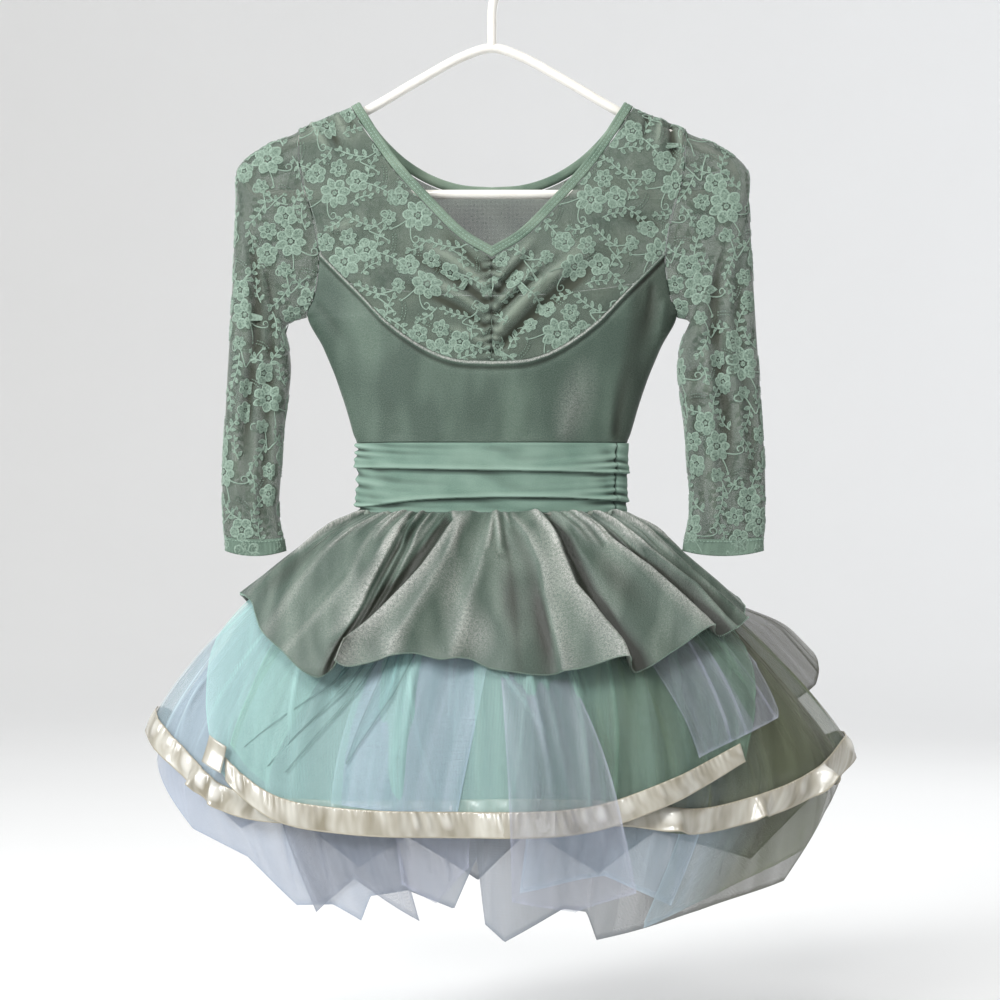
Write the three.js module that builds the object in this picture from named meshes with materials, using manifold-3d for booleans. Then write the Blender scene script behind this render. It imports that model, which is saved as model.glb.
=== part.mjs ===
// A ballet dress on its hanger: lace yoke and sleeves, velvet bodice, jersey sash, velvet peplum
// and a layered tulle skirt with ribbon hems. Millimetres, +Z up, the front faces -Y.
// The origin is the seat inside the top of the hook, where a rail or a wall hook carries it all.
import * as THREE from 'three';
import Module from 'manifold-3d';
import { mergeVertices } from 'three/addons/utils/BufferGeometryUtils.js';

// Cloth and seams
const SEAM_GAP = 0.3;
const ARMHOLE_GAP = 0.8;
const NECK_GAP = 0.9;
const LACE = 1.1;
const VELVET = 1.3;
const JERSEY = 1.3;
const TULLE = 1.2;
const RIBBON = 1.0;
const BINDING = { width: 7, thickness: 2, proud: 0.6 };

// Heights that several pieces share
const SHOULDER_TIP = { x: 161, z: -162 };
const NECK_POINT = { x: 111.5, z: -141 };
const UNDERARM_Z = -320;
const BACK_SEAM = { centre: -300, armhole: -286 };
const SASH_TOP = -426;
const ARMHOLE_DEPTH = 12;
const SHOULDER_ARCH = 20;

// Half width of the body at the armhole and side seams, and half depths at its centre
const TORSO = [
  { z: -141, half: 161, front: 12, back: 12 },
  { z: -162, half: 161, front: 13, back: 13 },
  { z: -184, half: 161, front: 15, back: 14 },
  { z: -210, half: 157.5, front: 18, back: 16 },
  { z: -235, half: 150, front: 21, back: 18 },
  { z: -265, half: 144.5, front: 24, back: 20 },
  { z: -285, half: 145, front: 26, back: 21 },
  { z: -305, half: 149, front: 27, back: 22 },
  { z: -320, half: 155, front: 28, back: 22 },
  { z: -347, half: 141, front: 28, back: 22 },
  { z: -390, half: 124.5, front: 27, back: 22 },
  { z: -418, half: 116.3, front: 26, back: 22 },
  { z: -426, half: 113.5, front: 26, back: 22 },
  { z: -466, half: 111.7, front: 25, back: 22 },
  { z: -485, half: 111.5, front: 25, back: 22 },
];

// Edges of the neck opening, from the neck point to the centre, at equal steps
const NECK_FRONT = [
  { step: 0, x: 111.5, z: -141 },
  { step: 1, x: 105, z: -151.5 },
  { step: 2, x: 92, z: -172 },
  { step: 3, x: 76, z: -194 },
  { step: 4, x: 51.7, z: -221 },
  { step: 5, x: 24, z: -249 },
  { step: 6, x: 0, z: -264 },
];
const NECK_BACK = [
  { step: 0, x: 111.5, z: -141 },
  { step: 1, x: 104, z: -153 },
  { step: 2, x: 90, z: -170.5 },
  { step: 3, x: 72, z: -187 },
  { step: 4, x: 50, z: -200 },
  { step: 5, x: 26, z: -207.5 },
  { step: 6, x: 0, z: -209.5 },
];
const NECK_STEPS = 6;

// The curved seam under the front yoke, from the centre out to the armhole
const YOKE_SEAM = [
  { x: 0, z: -358.5 },
  { x: 32, z: -356 },
  { x: 58, z: -345.5 },
  { x: 88, z: -324 },
  { x: 111, z: -300 },
  { x: 128, z: -283 },
  { x: 144.5, z: -266 },
];

// Left sleeve, ring by ring from the armhole to the cuff: the upper or outer edge, the lower or
// inner edge, and the half depth between them
const SLEEVE_RINGS = [
  { outX: 161, outZ: -162, inX: 155, inZ: -320, depth: 12 },
  { outX: 185.6, outZ: -173.7, inX: 165, inZ: -322.5, depth: 12.5 },
  { outX: 212.5, outZ: -194.7, inX: 174, inZ: -328.5, depth: 13 },
  { outX: 214.5, outZ: -224, inX: 173.5, inZ: -335, depth: 13.5 },
  { outX: 216.7, outZ: -272, inX: 170.5, inZ: -347.5, depth: 14 },
  { outX: 219.2, outZ: -322, inX: 169, inZ: -364, depth: 14.5 },
  { outX: 221.8, outZ: -366, inX: 171, inZ: -386, depth: 14.5 },
  { outX: 223.6, outZ: -402, inX: 174.5, inZ: -410, depth: 14 },
  { outX: 226, outZ: -444, inX: 177, inZ: -446, depth: 13.5 },
  { outX: 226, outZ: -484, inX: 179, inZ: -483, depth: 12.5 },
  { outX: 224, outZ: -507, inX: 174.5, inZ: -508, depth: 12 },
  { outX: 223.5, outZ: -516, inX: 173.5, inZ: -516.5, depth: 12 },
];
// Long soft folds of a sleeve: where across it, how deep, how wide, and the rings it runs between
const SLEEVE_FOLDS = [
  { across: 0.42, deep: 3.5, wide: 0.11, from: 2, to: 8 },
  { across: 0.72, deep: 2.5, wide: 0.1, from: 1, to: 10 },
];
// The right sleeve hangs closer to the body and a little wider at the cuff
const RIGHT_SLEEVE = { inwards: 13, outwards: 4 };

// The sash in profile: how far it stands out from the bodice. Each tuck overlaps the next.
const SASH_PROFILE = [
  { z: -426, out: 1.0 },
  { z: -436, out: 2.0 },
  { z: -446.5, out: 3.2 },
  { z: -449.5, out: 1.2 },
  { z: -460, out: 2.2 },
  { z: -471, out: 3.4 },
  { z: -474.5, out: 1.2 },
  { z: -484.5, out: 1.6 },
];

// The flare that every skirt layer follows: half width and half depths at each height
const FLARE = [
  { z: -484.8, half: 104.5, front: 20, back: 18 },
  { z: -489, half: 105.5, front: 21, back: 19 },
  { z: -496, half: 119, front: 30, back: 28 },
  { z: -508, half: 141, front: 44, back: 40 },
  { z: -525, half: 162, front: 57, back: 52 },
  { z: -545, half: 183, front: 69, back: 63 },
  { z: -565, half: 203, front: 80, back: 73 },
  { z: -584, half: 221, front: 89, back: 82 },
  { z: -610, half: 244, front: 101, back: 93 },
  { z: -649, half: 272, front: 117, back: 108 },
  { z: -680, half: 286, front: 128, back: 118 },
  { z: -710, half: 290, front: 137, back: 127 },
  { z: -740, half: 286, front: 143, back: 133 },
  { z: -780, half: 274, front: 140, back: 130 },
  { z: -825, half: 258, front: 132, back: 122 },
];
const SKIRT_TOP = -484.8;
// The right half is a little narrower above and wider below: a share of the half width
const RIGHT_HALF = [
  { z: -484.8, share: 1 },
  { z: -500, share: 0.97 },
  { z: -520, share: 0.945 },
  { z: -570, share: 0.95 },
  { z: -640, share: 0.99 },
  { z: -700, share: 1.035 },
  { z: -825, share: 1.035 },
];
const LAYER_AT_WAIST = 1.8;
const LAYER_AT_HEM = 5.2;
const LAYER_SPREAD = 150;

// Gathers shared by the tulle layers
const RUFFLE = { deep: 4.5, waves: 7, drift: 1.4 };
const UNDER_CLEAR = 6.5;

// Hem heights from side to side: side is -1 at the left seam, 0 at the centre, 1 at the right
const PEPLUM_HEM = [
  { side: -1, z: -570 },
  { side: -0.8, z: -595 },
  { side: -0.55, z: -626 },
  { side: -0.3, z: -612 },
  { side: 0, z: -616 },
  { side: 0.16, z: -622 },
  { side: 0.4, z: -614 },
  { side: 0.6, z: -607 },
  { side: 0.78, z: -588 },
  { side: 1, z: -566 },
];
const TOP_TIER_HEM = [
  { side: -1, z: -686 },
  { side: -0.75, z: -722 },
  { side: -0.55, z: -732 },
  { side: 0, z: -735 },
  { side: 0.4, z: -732 },
  { side: 0.66, z: -716 },
  { side: 1, z: -684 },
];
const LOW_TIER_HEM = [
  { side: -1, z: -668 },
  { side: -0.87, z: -694 },
  { side: -0.7, z: -724 },
  { side: -0.5, z: -735 },
  { side: 0, z: -740 },
  { side: 0.5, z: -738 },
  { side: 0.75, z: -722 },
  { side: 0.9, z: -706 },
  { side: 1, z: -688 },
];
// Handkerchief points of the soft layer below
const FRONT_POINTS = [
  { side: -1, z: -684 },
  { side: -0.86, z: -740 },
  { side: -0.7, z: -758 },
  { side: -0.58, z: -795 },
  { side: -0.47, z: -793 },
  { side: -0.39, z: -805 },
  { side: -0.35, z: -784 },
  { side: -0.24, z: -778 },
  { side: -0.11, z: -794 },
  { side: -0.04, z: -752 },
  { side: -0.02, z: -806 },
  { side: 0.04, z: -820 },
  { side: 0.21, z: -794 },
  { side: 0.28, z: -797 },
  { side: 0.32, z: -820 },
  { side: 0.62, z: -801 },
  { side: 0.85, z: -782 },
  { side: 0.93, z: -730 },
  { side: 1, z: -700 },
];
const BACK_POINTS = [
  { side: -1, z: -684 },
  { side: -0.8, z: -762 },
  { side: -0.66, z: -748 },
  { side: -0.45, z: -802 },
  { side: -0.28, z: -776 },
  { side: -0.05, z: -815 },
  { side: 0.12, z: -772 },
  { side: 0.36, z: -808 },
  { side: 0.52, z: -770 },
  { side: 0.82, z: -788 },
  { side: 1, z: -700 },
];

// Folds of the peplum: angle from the centre at the waist and at the hem, height and width there
const PEPLUM_FOLDS_FRONT = [
  { waist: -53, hem: -38, high: 15, wide: 6.5 },
  { waist: -41, hem: -28.5, high: 10, wide: 1.9 },
  { waist: -35.5, hem: -23.5, high: 11, wide: 1.9 },
  { waist: -30, hem: -18, high: 9, wide: 2.2 },
  { waist: -12, hem: -8, high: 11, wide: 4.5 },
  { waist: 9, hem: 7, high: 12, wide: 4.2 },
  { waist: 22, hem: 17, high: 15, wide: 3.6 },
  { waist: 39, hem: 41, high: 20, wide: 6 },
  { waist: 53, hem: 56, high: 9, wide: 4 },
];
const PEPLUM_FOLDS_BACK = [
  { waist: -56, hem: -52, high: 10, wide: 6 },
  { waist: -38, hem: -33, high: 14, wide: 4.5 },
  { waist: -19, hem: -17, high: 11, wide: 3.4 },
  { waist: -3, hem: -1, high: 13, wide: 4.5 },
  { waist: 16, hem: 14, high: 10, wide: 3.4 },
  { waist: 33, hem: 31, high: 15, wide: 4.5 },
  { waist: 54, hem: 52, high: 11, wide: 6 },
];

// The upper tier is two panels, so its edges swing towards the middle as they fall
const TOP_TIER_EDGE = [
  { z: -825, angle: 47 },
  { z: -735, angle: 47 },
  { z: -684, angle: 49 },
  { z: -640, angle: 58 },
  { z: -580, angle: 72 },
  { z: -520, angle: 77 },
  { z: -484.8, angle: 78 },
];
const RIGHT_EDGE_SHARE = 0.87;
const RIBBON_RISE = 18;

// Hanger: 8 mm tube
const TUBE_RADIUS = 4;
const TUBE_SIDES = 8;
const HANGER_BAR_Z = -217;
const HANGER_BAR_HALF = 186;
const HOOK_RADIUS = 20;
const ARM_BELOW = 9;

const COLOURS = {
  lace: 0x8fae9f,
  velvet: 0x66806f,
  jersey: 0x7fa393,
  tulle: 0xb4cfcb,
  underTulle: 0xbcc4d2,
  ribbon: 0xe6ddcd,
  plastic: 0xf1ece3,
};

const group = new THREE.Group();

// Reads one column of a table as a smooth curve of another column
function curveOf(table, by, column) {
  const rows = table[0][by] < table[table.length - 1][by] ? table : [...table].reverse();
  const slopes = rows.map((row, i) => {
    const before = rows[Math.max(0, i - 1)];
    const after = rows[Math.min(rows.length - 1, i + 1)];
    return (after[column] - before[column]) / (after[by] - before[by]);
  });
  return (at) => {
    let i = 0;
    while (i < rows.length - 2 && at > rows[i + 1][by]) i += 1;
    const span = rows[i + 1][by] - rows[i][by];
    const t = THREE.MathUtils.clamp((at - rows[i][by]) / span, 0, 1);
    const rise = rows[i + 1][column] - rows[i][column];
    const bend0 = slopes[i] * span - rise;
    const bend1 = rise - slopes[i + 1] * span;
    return rows[i][column] + rise * t + t * (1 - t) * ((1 - t) * bend0 + t * bend1);
  };
}

// The same, with straight stretches between the rows
function linesOf(table, by, column) {
  return (at) => {
    let i = 0;
    while (i < table.length - 2 && at > table[i + 1][by]) i += 1;
    const t = THREE.MathUtils.clamp((at - table[i][by]) / (table[i + 1][by] - table[i][by]), 0, 1);
    return THREE.MathUtils.lerp(table[i][column], table[i + 1][column], t);
  };
}

function evenly(count) {
  return Array.from({ length: count + 1 }, (unused, i) => i / count);
}

// Shares from 0 to 1, closer together at both ends, where a section rounds into its seam
function closerAtEnds(count) {
  return evenly(count).map((t) => (1 - Math.cos(Math.PI * t)) / 2);
}

// One closed body from an outer and an inner grid of points, rows from top to bottom.
// A ring grid joins its last column to its first. Faces point out where the columns run from
// -X to +X on the front; flip turns them over.
function wall(name, colour, outer, inner, { ring = false, flip = false } = {}) {
  const rows = outer.length;
  const columns = outer[0].length;
  const positions = [];
  for (const grid of [outer, inner]) {
    for (const row of grid) {
      for (const point of row) positions.push(point.x, point.y, point.z);
    }
  }
  const index = [];
  const at = (layer, j, i) => layer * rows * columns + j * columns + (i % columns);
  const face = (a, b, c, d) => {
    if (flip) index.push(a, c, b, a, d, c);
    else index.push(a, b, c, a, c, d);
  };
  const spans = ring ? columns : columns - 1;
  for (let j = 0; j < rows - 1; j += 1) {
    for (let i = 0; i < spans; i += 1) {
      face(at(0, j, i), at(0, j + 1, i), at(0, j + 1, i + 1), at(0, j, i + 1));
      face(at(1, j, i), at(1, j, i + 1), at(1, j + 1, i + 1), at(1, j + 1, i));
    }
  }
  const last = rows - 1;
  for (let i = 0; i < spans; i += 1) {
    face(at(0, 0, i), at(0, 0, i + 1), at(1, 0, i + 1), at(1, 0, i));
    face(at(0, last, i), at(1, last, i), at(1, last, i + 1), at(0, last, i + 1));
  }
  if (!ring) {
    const end = columns - 1;
    for (let j = 0; j < last; j += 1) {
      face(at(0, j, 0), at(1, j, 0), at(1, j + 1, 0), at(0, j + 1, 0));
      face(at(0, j, end), at(0, j + 1, end), at(1, j + 1, end), at(1, j, end));
    }
  }
  const geometry = new THREE.BufferGeometry();
  geometry.setAttribute('position', new THREE.Float32BufferAttribute(positions, 3));
  geometry.setIndex(index);
  geometry.computeVertexNormals();
  addPiece(name, geometry, colour);
}

function addPiece(name, geometry, colour, roughness = 0.85) {
  const mesh = new THREE.Mesh(
    geometry,
    new THREE.MeshStandardMaterial({ color: colour, roughness, metalness: 0 }),
  );
  mesh.name = name;
  group.add(mesh);
}

// Outward directions of a grid. Along a seam that lies in the plane between front and back, and
// along a level edge, they stay in that plane, so that the walls meet edge to edge.
function outwardOf(grid, side, { ring = false, level = [] } = {}) {
  const last = grid.length - 1;
  return grid.map((row, j) => row.map((point, i) => {
    const end = row.length - 1;
    const before = ring ? row[(i + end) % row.length] : row[Math.max(0, i - 1)];
    const after = ring ? row[(i + 1) % row.length] : row[Math.min(end, i + 1)];
    const above = grid[Math.max(0, j - 1)][i];
    const below = grid[Math.min(last, j + 1)][i];
    const across = after.clone().sub(before);
    const down = below.clone().sub(above);
    const out = across.cross(down).multiplyScalar(side).normalize();
    const onEdge = j === 0 || (!ring && (i === 0 || i === end));
    if (onEdge && Math.abs(point.y) <= SEAM_GAP) out.y = 0;
    if ((j === 0 && level.includes('top')) || (j === last && level.includes('bottom'))) out.z = 0;
    return out.normalize();
  }));
}

function moved(grid, directions, distance) {
  return grid.map((row, j) => row.map((point, i) => (
    point.clone().addScaledVector(directions[j][i], distance)
  )));
}

// Torso surface
const halfWidth = curveOf(TORSO, 'z', 'half');
const centreDepth = { '-1': curveOf(TORSO, 'z', 'front'), 1: curveOf(TORSO, 'z', 'back') };

// Rises from 0 at an edge to 1, as a flattened round does
function rounded(share) {
  const left = 1 - THREE.MathUtils.clamp(share, 0, 1);
  return Math.cbrt(1 - left ** 3);
}

function armholeDepth(z) {
  const share = (SHOULDER_TIP.z - z) / (SHOULDER_TIP.z - UNDERARM_Z);
  return ARMHOLE_DEPTH * rounded(1 - Math.abs(2 * share - 1));
}

function shoulderLine(x) {
  const share = (Math.abs(x) - NECK_POINT.x) / (SHOULDER_TIP.x - NECK_POINT.x);
  return NECK_POINT.z + Math.max(0, share) * (SHOULDER_TIP.z - NECK_POINT.z);
}

// side is -1 for the front and 1 for the back
function torsoDepth(x, z, side) {
  const edge = armholeDepth(z);
  const arch = rounded((shoulderLine(x) - z) / SHOULDER_ARCH);
  const centre = centreDepth[side](z) * arch;
  const across = Math.min(1, Math.abs(x) / halfWidth(z));
  const roundness = 0.5 + (0.5 * edge) / ARMHOLE_DEPTH;
  return Math.max(0, edge + (centre - edge) * (1 - across ** 2) ** roundness);
}

function torsoPoint(flat, side) {
  const depth = torsoDepth(flat.x, flat.y, side);
  return new THREE.Vector3(flat.x, side * (SEAM_GAP / 2 + depth), flat.y);
}

const flatPoint = (x, z) => new THREE.Vector2(x, z);

// A flat four-sided outline filled from its four edges
function filled(top, bottom, left, right) {
  return (u, v) => {
    const along = top(u).multiplyScalar(1 - v).addScaledVector(bottom(u), v);
    const down = left(v).multiplyScalar(1 - u).addScaledVector(right(v), u);
    const corners = top(0).multiplyScalar((1 - u) * (1 - v))
      .addScaledVector(top(1), u * (1 - v))
      .addScaledVector(bottom(0), (1 - u) * v)
      .addScaledVector(bottom(1), u * v);
    return along.add(down).sub(corners);
  };
}

function torsoPanel(name, colour, thickness, side, outline, columns, rows, level = []) {
  const outer = rows.map((v) => columns.map((u) => torsoPoint(outline(u, v), side)));
  const inner = moved(outer, outwardOf(outer, side, { level }), -thickness);
  wall(name, colour, outer, inner, { flip: side > 0 });
}

// The edge of the neck opening, moved out over the body by a distance in its own plane
const neckX = { '-1': curveOf(NECK_FRONT, 'step', 'x'), 1: curveOf(NECK_BACK, 'step', 'x') };
const neckZ = { '-1': curveOf(NECK_FRONT, 'step', 'z'), 1: curveOf(NECK_BACK, 'step', 'z') };

// Places along half of the neck edge, closest together where it rounds over the shoulder
const NECK_STOPS = [0, 0.02, 0.06, 0.14, 0.28, 0.43, 0.57, 0.71, 0.86, 1];

function neckEdge(t, side, out) {
  const step = t * NECK_STEPS;
  const [x, z] = [neckX[side](step), neckZ[side](step)];
  const small = 0.02;
  const alongX = neckX[side](step + small) - neckX[side](step - small);
  const alongZ = neckZ[side](step + small) - neckZ[side](step - small);
  const length = Math.hypot(alongX, alongZ);
  if (t <= 0) {
    const lineX = SHOULDER_TIP.x - NECK_POINT.x;
    const lineZ = SHOULDER_TIP.z - NECK_POINT.z;
    const line = Math.hypot(lineX, lineZ);
    return flatPoint(x + (out * lineX) / line, z + (out * lineZ) / line);
  }
  if (t >= 1) return flatPoint(0, z - (out * length) / Math.abs(alongX));
  return flatPoint(x - (out * alongZ) / length, z + (out * alongX) / length);
}

// Front yoke: from the neck and the centre seam out to the armhole
function addFrontYoke(name, hand) {
  const yokeOut = BINDING.width + NECK_GAP;
  const seam = curveOf(YOKE_SEAM, 'x', 'z');
  const seamEnd = YOKE_SEAM[YOKE_SEAM.length - 1];
  const neckBottom = neckEdge(1, -1, yokeOut);
  const neckShare = 0.66;
  const start = neckEdge(0, -1, yokeOut);
  const top = (u) => {
    const x = THREE.MathUtils.lerp(start.x, SHOULDER_TIP.x, u);
    return flatPoint(x, shoulderLine(x));
  };
  const bottom = (u) => {
    const x = THREE.MathUtils.lerp(SEAM_GAP / 2, seamEnd.x, u);
    return flatPoint(x, seam(x));
  };
  const inside = (v) => {
    if (v < neckShare) {
      const point = neckEdge(v / neckShare, -1, yokeOut);
      point.x = Math.max(point.x, SEAM_GAP / 2);
      return point;
    }
    const share = (v - neckShare) / (1 - neckShare);
    return flatPoint(SEAM_GAP / 2, THREE.MathUtils.lerp(neckBottom.y, YOKE_SEAM[0].z, share));
  };
  const outside = (v) => {
    const z = THREE.MathUtils.lerp(SHOULDER_TIP.z, seamEnd.z, v);
    return flatPoint(halfWidth(z), z);
  };
  const half = filled(top, bottom, inside, outside);
  const rows = [...NECK_STOPS.map((t) => t * neckShare), 0.78, 0.9, 1];
  const toArmhole = evenly(9).map((t) => Math.sin((t * Math.PI) / 2));
  const columns = hand < 0 ? toArmhole.reverse() : toArmhole;
  const outline = (u, v) => {
    const point = half(u, v);
    return flatPoint(hand * point.x, point.y);
  };
  torsoPanel(name, COLOURS.lace, LACE, -1, outline, columns, rows);
}

function backSeam(x) {
  const share = (x / halfWidth(BACK_SEAM.armhole)) ** 2;
  return THREE.MathUtils.lerp(BACK_SEAM.centre, BACK_SEAM.armhole, Math.min(1, share));
}

// Back yoke: one piece from armhole to armhole
function addBackYoke() {
  const yokeOut = BINDING.width + NECK_GAP;
  const start = neckEdge(0, 1, yokeOut);
  const shoulderShare = 0.16;
  const top = (u) => {
    const fromCentre = Math.abs(2 * u - 1);
    const hand = u < 0.5 ? -1 : 1;
    const neckPart = 1 - 2 * shoulderShare;
    if (fromCentre <= neckPart) {
      const point = neckEdge(1 - fromCentre / neckPart, 1, yokeOut);
      return flatPoint(hand * point.x, point.y);
    }
    const x = THREE.MathUtils.mapLinear(fromCentre, neckPart, 1, start.x, SHOULDER_TIP.x);
    return flatPoint(hand * x, shoulderLine(x));
  };
  const seamHalf = halfWidth(BACK_SEAM.armhole);
  const bottom = (u) => {
    const x = THREE.MathUtils.lerp(-seamHalf, seamHalf, u);
    return flatPoint(x, backSeam(x) + SEAM_GAP);
  };
  const sideEdge = (hand) => (v) => {
    const z = THREE.MathUtils.lerp(SHOULDER_TIP.z, BACK_SEAM.armhole + SEAM_GAP, v);
    return flatPoint(hand * halfWidth(z), z);
  };
  const outline = filled(top, bottom, sideEdge(-1), sideEdge(1));
  const shoulder = [0, 0.05, 0.1];
  const neck = NECK_STOPS.map((t) => THREE.MathUtils.lerp(shoulderShare, 0.5, t));
  const half = [...shoulder, ...neck];
  const columns = [...half, ...half.slice(0, -1).map((u) => 1 - u).reverse()];
  const rows = [0, 0.012, 0.035, 0.09, 0.2, 0.36, 0.54, 0.7, 0.86, 1];
  torsoPanel('yoke_back', COLOURS.lace, LACE, 1, outline, columns, rows);
}

// Velvet bodice panels, from the yoke seam to the sash
function addBodice(name, side) {
  const seam = curveOf(YOKE_SEAM, 'x', 'z');
  const seamEnd = side < 0 ? YOKE_SEAM[YOKE_SEAM.length - 1].z : BACK_SEAM.armhole;
  const topHalf = halfWidth(seamEnd);
  const bottomZ = SASH_TOP + SEAM_GAP;
  const seamZ = (x) => (side < 0 ? seam(Math.abs(x)) : backSeam(x)) - SEAM_GAP;
  const top = (u) => {
    const x = THREE.MathUtils.lerp(-topHalf, topHalf, u);
    return flatPoint(x, seamZ(x));
  };
  const bottom = (u) => {
    const half = halfWidth(bottomZ);
    return flatPoint(THREE.MathUtils.lerp(-half, half, u), bottomZ);
  };
  const sideEdge = (hand) => (v) => {
    const z = THREE.MathUtils.lerp(seamZ(topHalf), bottomZ, v);
    return flatPoint(hand * halfWidth(z), z);
  };
  const outline = filled(top, bottom, sideEdge(-1), sideEdge(1));
  const underarm = (seamEnd - UNDERARM_Z) / (seamEnd - bottomZ);
  const rows = [0, 0.4 * underarm, 0.7 * underarm, 0.88 * underarm, 0.97 * underarm];
  rows.push(...evenly(5).map((t) => THREE.MathUtils.lerp(underarm, 1, t)));
  torsoPanel(name, COLOURS.velvet, VELVET, side, outline, closerAtEnds(18), rows, ['bottom']);
}

// Sash panels
function addSash(name, side) {
  const columns = closerAtEnds(20).map((t) => 2 * t - 1);
  const row = (z, out) => columns.map((share) => {
    const half = halfWidth(z) + out;
    const depth = (centreDepth[side](z) + out) * Math.sqrt(1 - share ** 2);
    return new THREE.Vector3(share * half, side * (SEAM_GAP / 2 + depth), z);
  });
  const outer = SASH_PROFILE.map(({ z, out }) => row(z, out));
  const inner = SASH_PROFILE.map(({ z, out }) => row(z, out - JERSEY));
  wall(name, COLOURS.jersey, outer, inner, { flip: side > 0 });
}

// The folded strip round the whole neck opening
function addNeckBinding() {
  const half = NECK_STOPS;
  const stops = [
    ...[...half].reverse().map((t) => ({ t, side: -1, hand: 1 })),
    ...half.slice(1).map((t) => ({ t, side: 1, hand: 1 })),
    ...half.slice(0, -1).map((t) => ({ t, side: 1, hand: -1 })).reverse(),
    ...half.slice(1, -1).map((t) => ({ t, side: -1, hand: -1 })),
  ];
  const place = ({ t, side, hand }, out) => {
    const flat = neckEdge(t, side, out);
    const point = torsoPoint(flat, side);
    if (t === 0) point.y = 0;
    point.x *= hand;
    return point;
  };
  const grid = [0, BINDING.width].map((out) => stops.map((stop) => place(stop, out)));
  const directions = outwardOf(grid, -1, { ring: true });
  const outer = moved(grid, directions, BINDING.proud);
  const inner = moved(grid, directions, BINDING.proud - BINDING.thickness);
  wall('neck_binding', COLOURS.jersey, outer, inner, { ring: true });
}

// Sleeves, as tubes of flattened rings
function addSleeve(name, hand) {
  const count = 18;
  const rows = SLEEVE_RINGS.map((ring, k) => {
    const inwards = hand > 0 ? RIGHT_SLEEVE.inwards * THREE.MathUtils.smoothstep(k, 0.5, 3.5) : 0;
    const outwards = hand > 0 ? (RIGHT_SLEEVE.outwards * k) / (SLEEVE_RINGS.length - 1) : 0;
    const outEdge = new THREE.Vector3(ring.outX + outwards, 0, ring.outZ);
    const inEdge = new THREE.Vector3(ring.inX - inwards, 0, ring.inZ);
    const centre = outEdge.clone().add(inEdge).multiplyScalar(0.5);
    const reach = outEdge.clone().sub(inEdge).multiplyScalar(0.5);
    return evenly(count).slice(0, -1).map((turn) => {
      const angle = 2 * Math.PI * turn;
      const along = Math.sign(Math.cos(angle)) * Math.abs(Math.cos(angle)) ** (2 / 3);
      const side = Math.sin(angle) < 0 ? 1 : -1;
      const point = centre.clone().addScaledVector(reach, along);
      point.y = side * ring.depth * Math.cbrt(1 - Math.abs(along) ** 3);
      if (k === 0) point.x = halfWidth(point.z) + ARMHOLE_GAP;
      const across = (1 - along) / 2;
      for (const fold of SLEEVE_FOLDS) {
        const run = Math.min(k - fold.from, fold.to - k) / 2;
        const strength = THREE.MathUtils.clamp(run, 0, 1);
        const shape = Math.exp(-(((across - fold.across) / fold.wide) ** 2));
        point.y -= side * fold.deep * strength * shape;
      }
      point.x *= hand;
      return point;
    });
  });
  const directions = outwardOf(rows, hand, { ring: true });
  wall(name, COLOURS.lace, rows, moved(rows, directions, -LACE), { ring: true, flip: hand > 0 });
}

// Skirt surface
const flareHalf = curveOf(FLARE, 'z', 'half');
const rightHalf = curveOf(RIGHT_HALF, 'z', 'share');
const flareDepth = { '-1': curveOf(FLARE, 'z', 'front'), 1: curveOf(FLARE, 'z', 'back') };

const fromWaist = (z) => THREE.MathUtils.smoothstep(SKIRT_TOP - z, 0, LAYER_SPREAD);

function flarePoint(angle, z, side) {
  const radians = THREE.MathUtils.degToRad(angle);
  const y = side * (SEAM_GAP / 2 + flareDepth[side](z) * Math.cos(radians));
  const width = 1 + (rightHalf(z) - 1) * Math.max(0, Math.sin(radians)) ** 2;
  return new THREE.Vector3(flareHalf(z) * width * Math.sin(radians), y, z);
}

function flareOut(angle, z, side) {
  const small = 0.5;
  const across = flarePoint(angle + small, z, side).sub(flarePoint(angle - small, z, side));
  const down = flarePoint(angle, z - small, side).sub(flarePoint(angle, z + small, side));
  const out = across.cross(down).multiplyScalar(side);
  if (z >= SKIRT_TOP) out.z = 0;
  return out.normalize();
}

function layerOut(layer, z) {
  return layer * THREE.MathUtils.lerp(LAYER_AT_WAIST, LAYER_AT_HEM, fromWaist(z));
}

function ruffle(angle, z) {
  const radians = THREE.MathUtils.degToRad(angle);
  const wave = Math.sin(2 * RUFFLE.waves * radians + RUFFLE.drift * Math.sin(3 * radians));
  return RUFFLE.deep * fromWaist(z) * wave * Math.cos(radians) ** 0.5;
}

function peplumFold(angle, z, folds) {
  const drop = THREE.MathUtils.clamp((SKIRT_TOP - z) / 118, 0, 1);
  return folds.reduce((sum, fold) => {
    const middle = THREE.MathUtils.lerp(fold.waist, fold.hem, drop);
    const strength = THREE.MathUtils.lerp(0.02, 1, drop) * Math.min(1, drop * 8);
    return sum + fold.high * strength * Math.exp(-(((angle - middle) / fold.wide) ** 2));
  }, 0);
}

// One panel of the skirt. hem gives its height from the side share, edge its widest angle at a
// height, and extra how its folds stand out. lastRise adds a row that far above the hem.
// Returns its outer surface moved out by any distance, for what lies on it.
function skirtPanel({ name, colour, side, layer, hem, columns, rows, edge, extra, lastRise }) {
  const drops = lastRise ? [...rows, 'rise', 1] : [...rows, 1];
  const surface = (out) => drops.map((drop) => columns.map((share) => {
    const hemZ = hem(share);
    const z = drop === 'rise' ? hemZ + lastRise : THREE.MathUtils.lerp(SKIRT_TOP, hemZ, drop);
    const edgeShare = share > 0 ? share * RIGHT_EDGE_SHARE : share;
    const angle = edge ? edgeShare * edge(z) : THREE.MathUtils.radToDeg(Math.asin(share));
    const far = layerOut(layer, z) + extra(angle, z) + out;
    return flarePoint(angle, z, side).addScaledVector(flareOut(angle, z, side), far);
  }));
  wall(name, colour, surface(0), surface(-TULLE), { flip: side > 0 });
  return surface;
}

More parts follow.
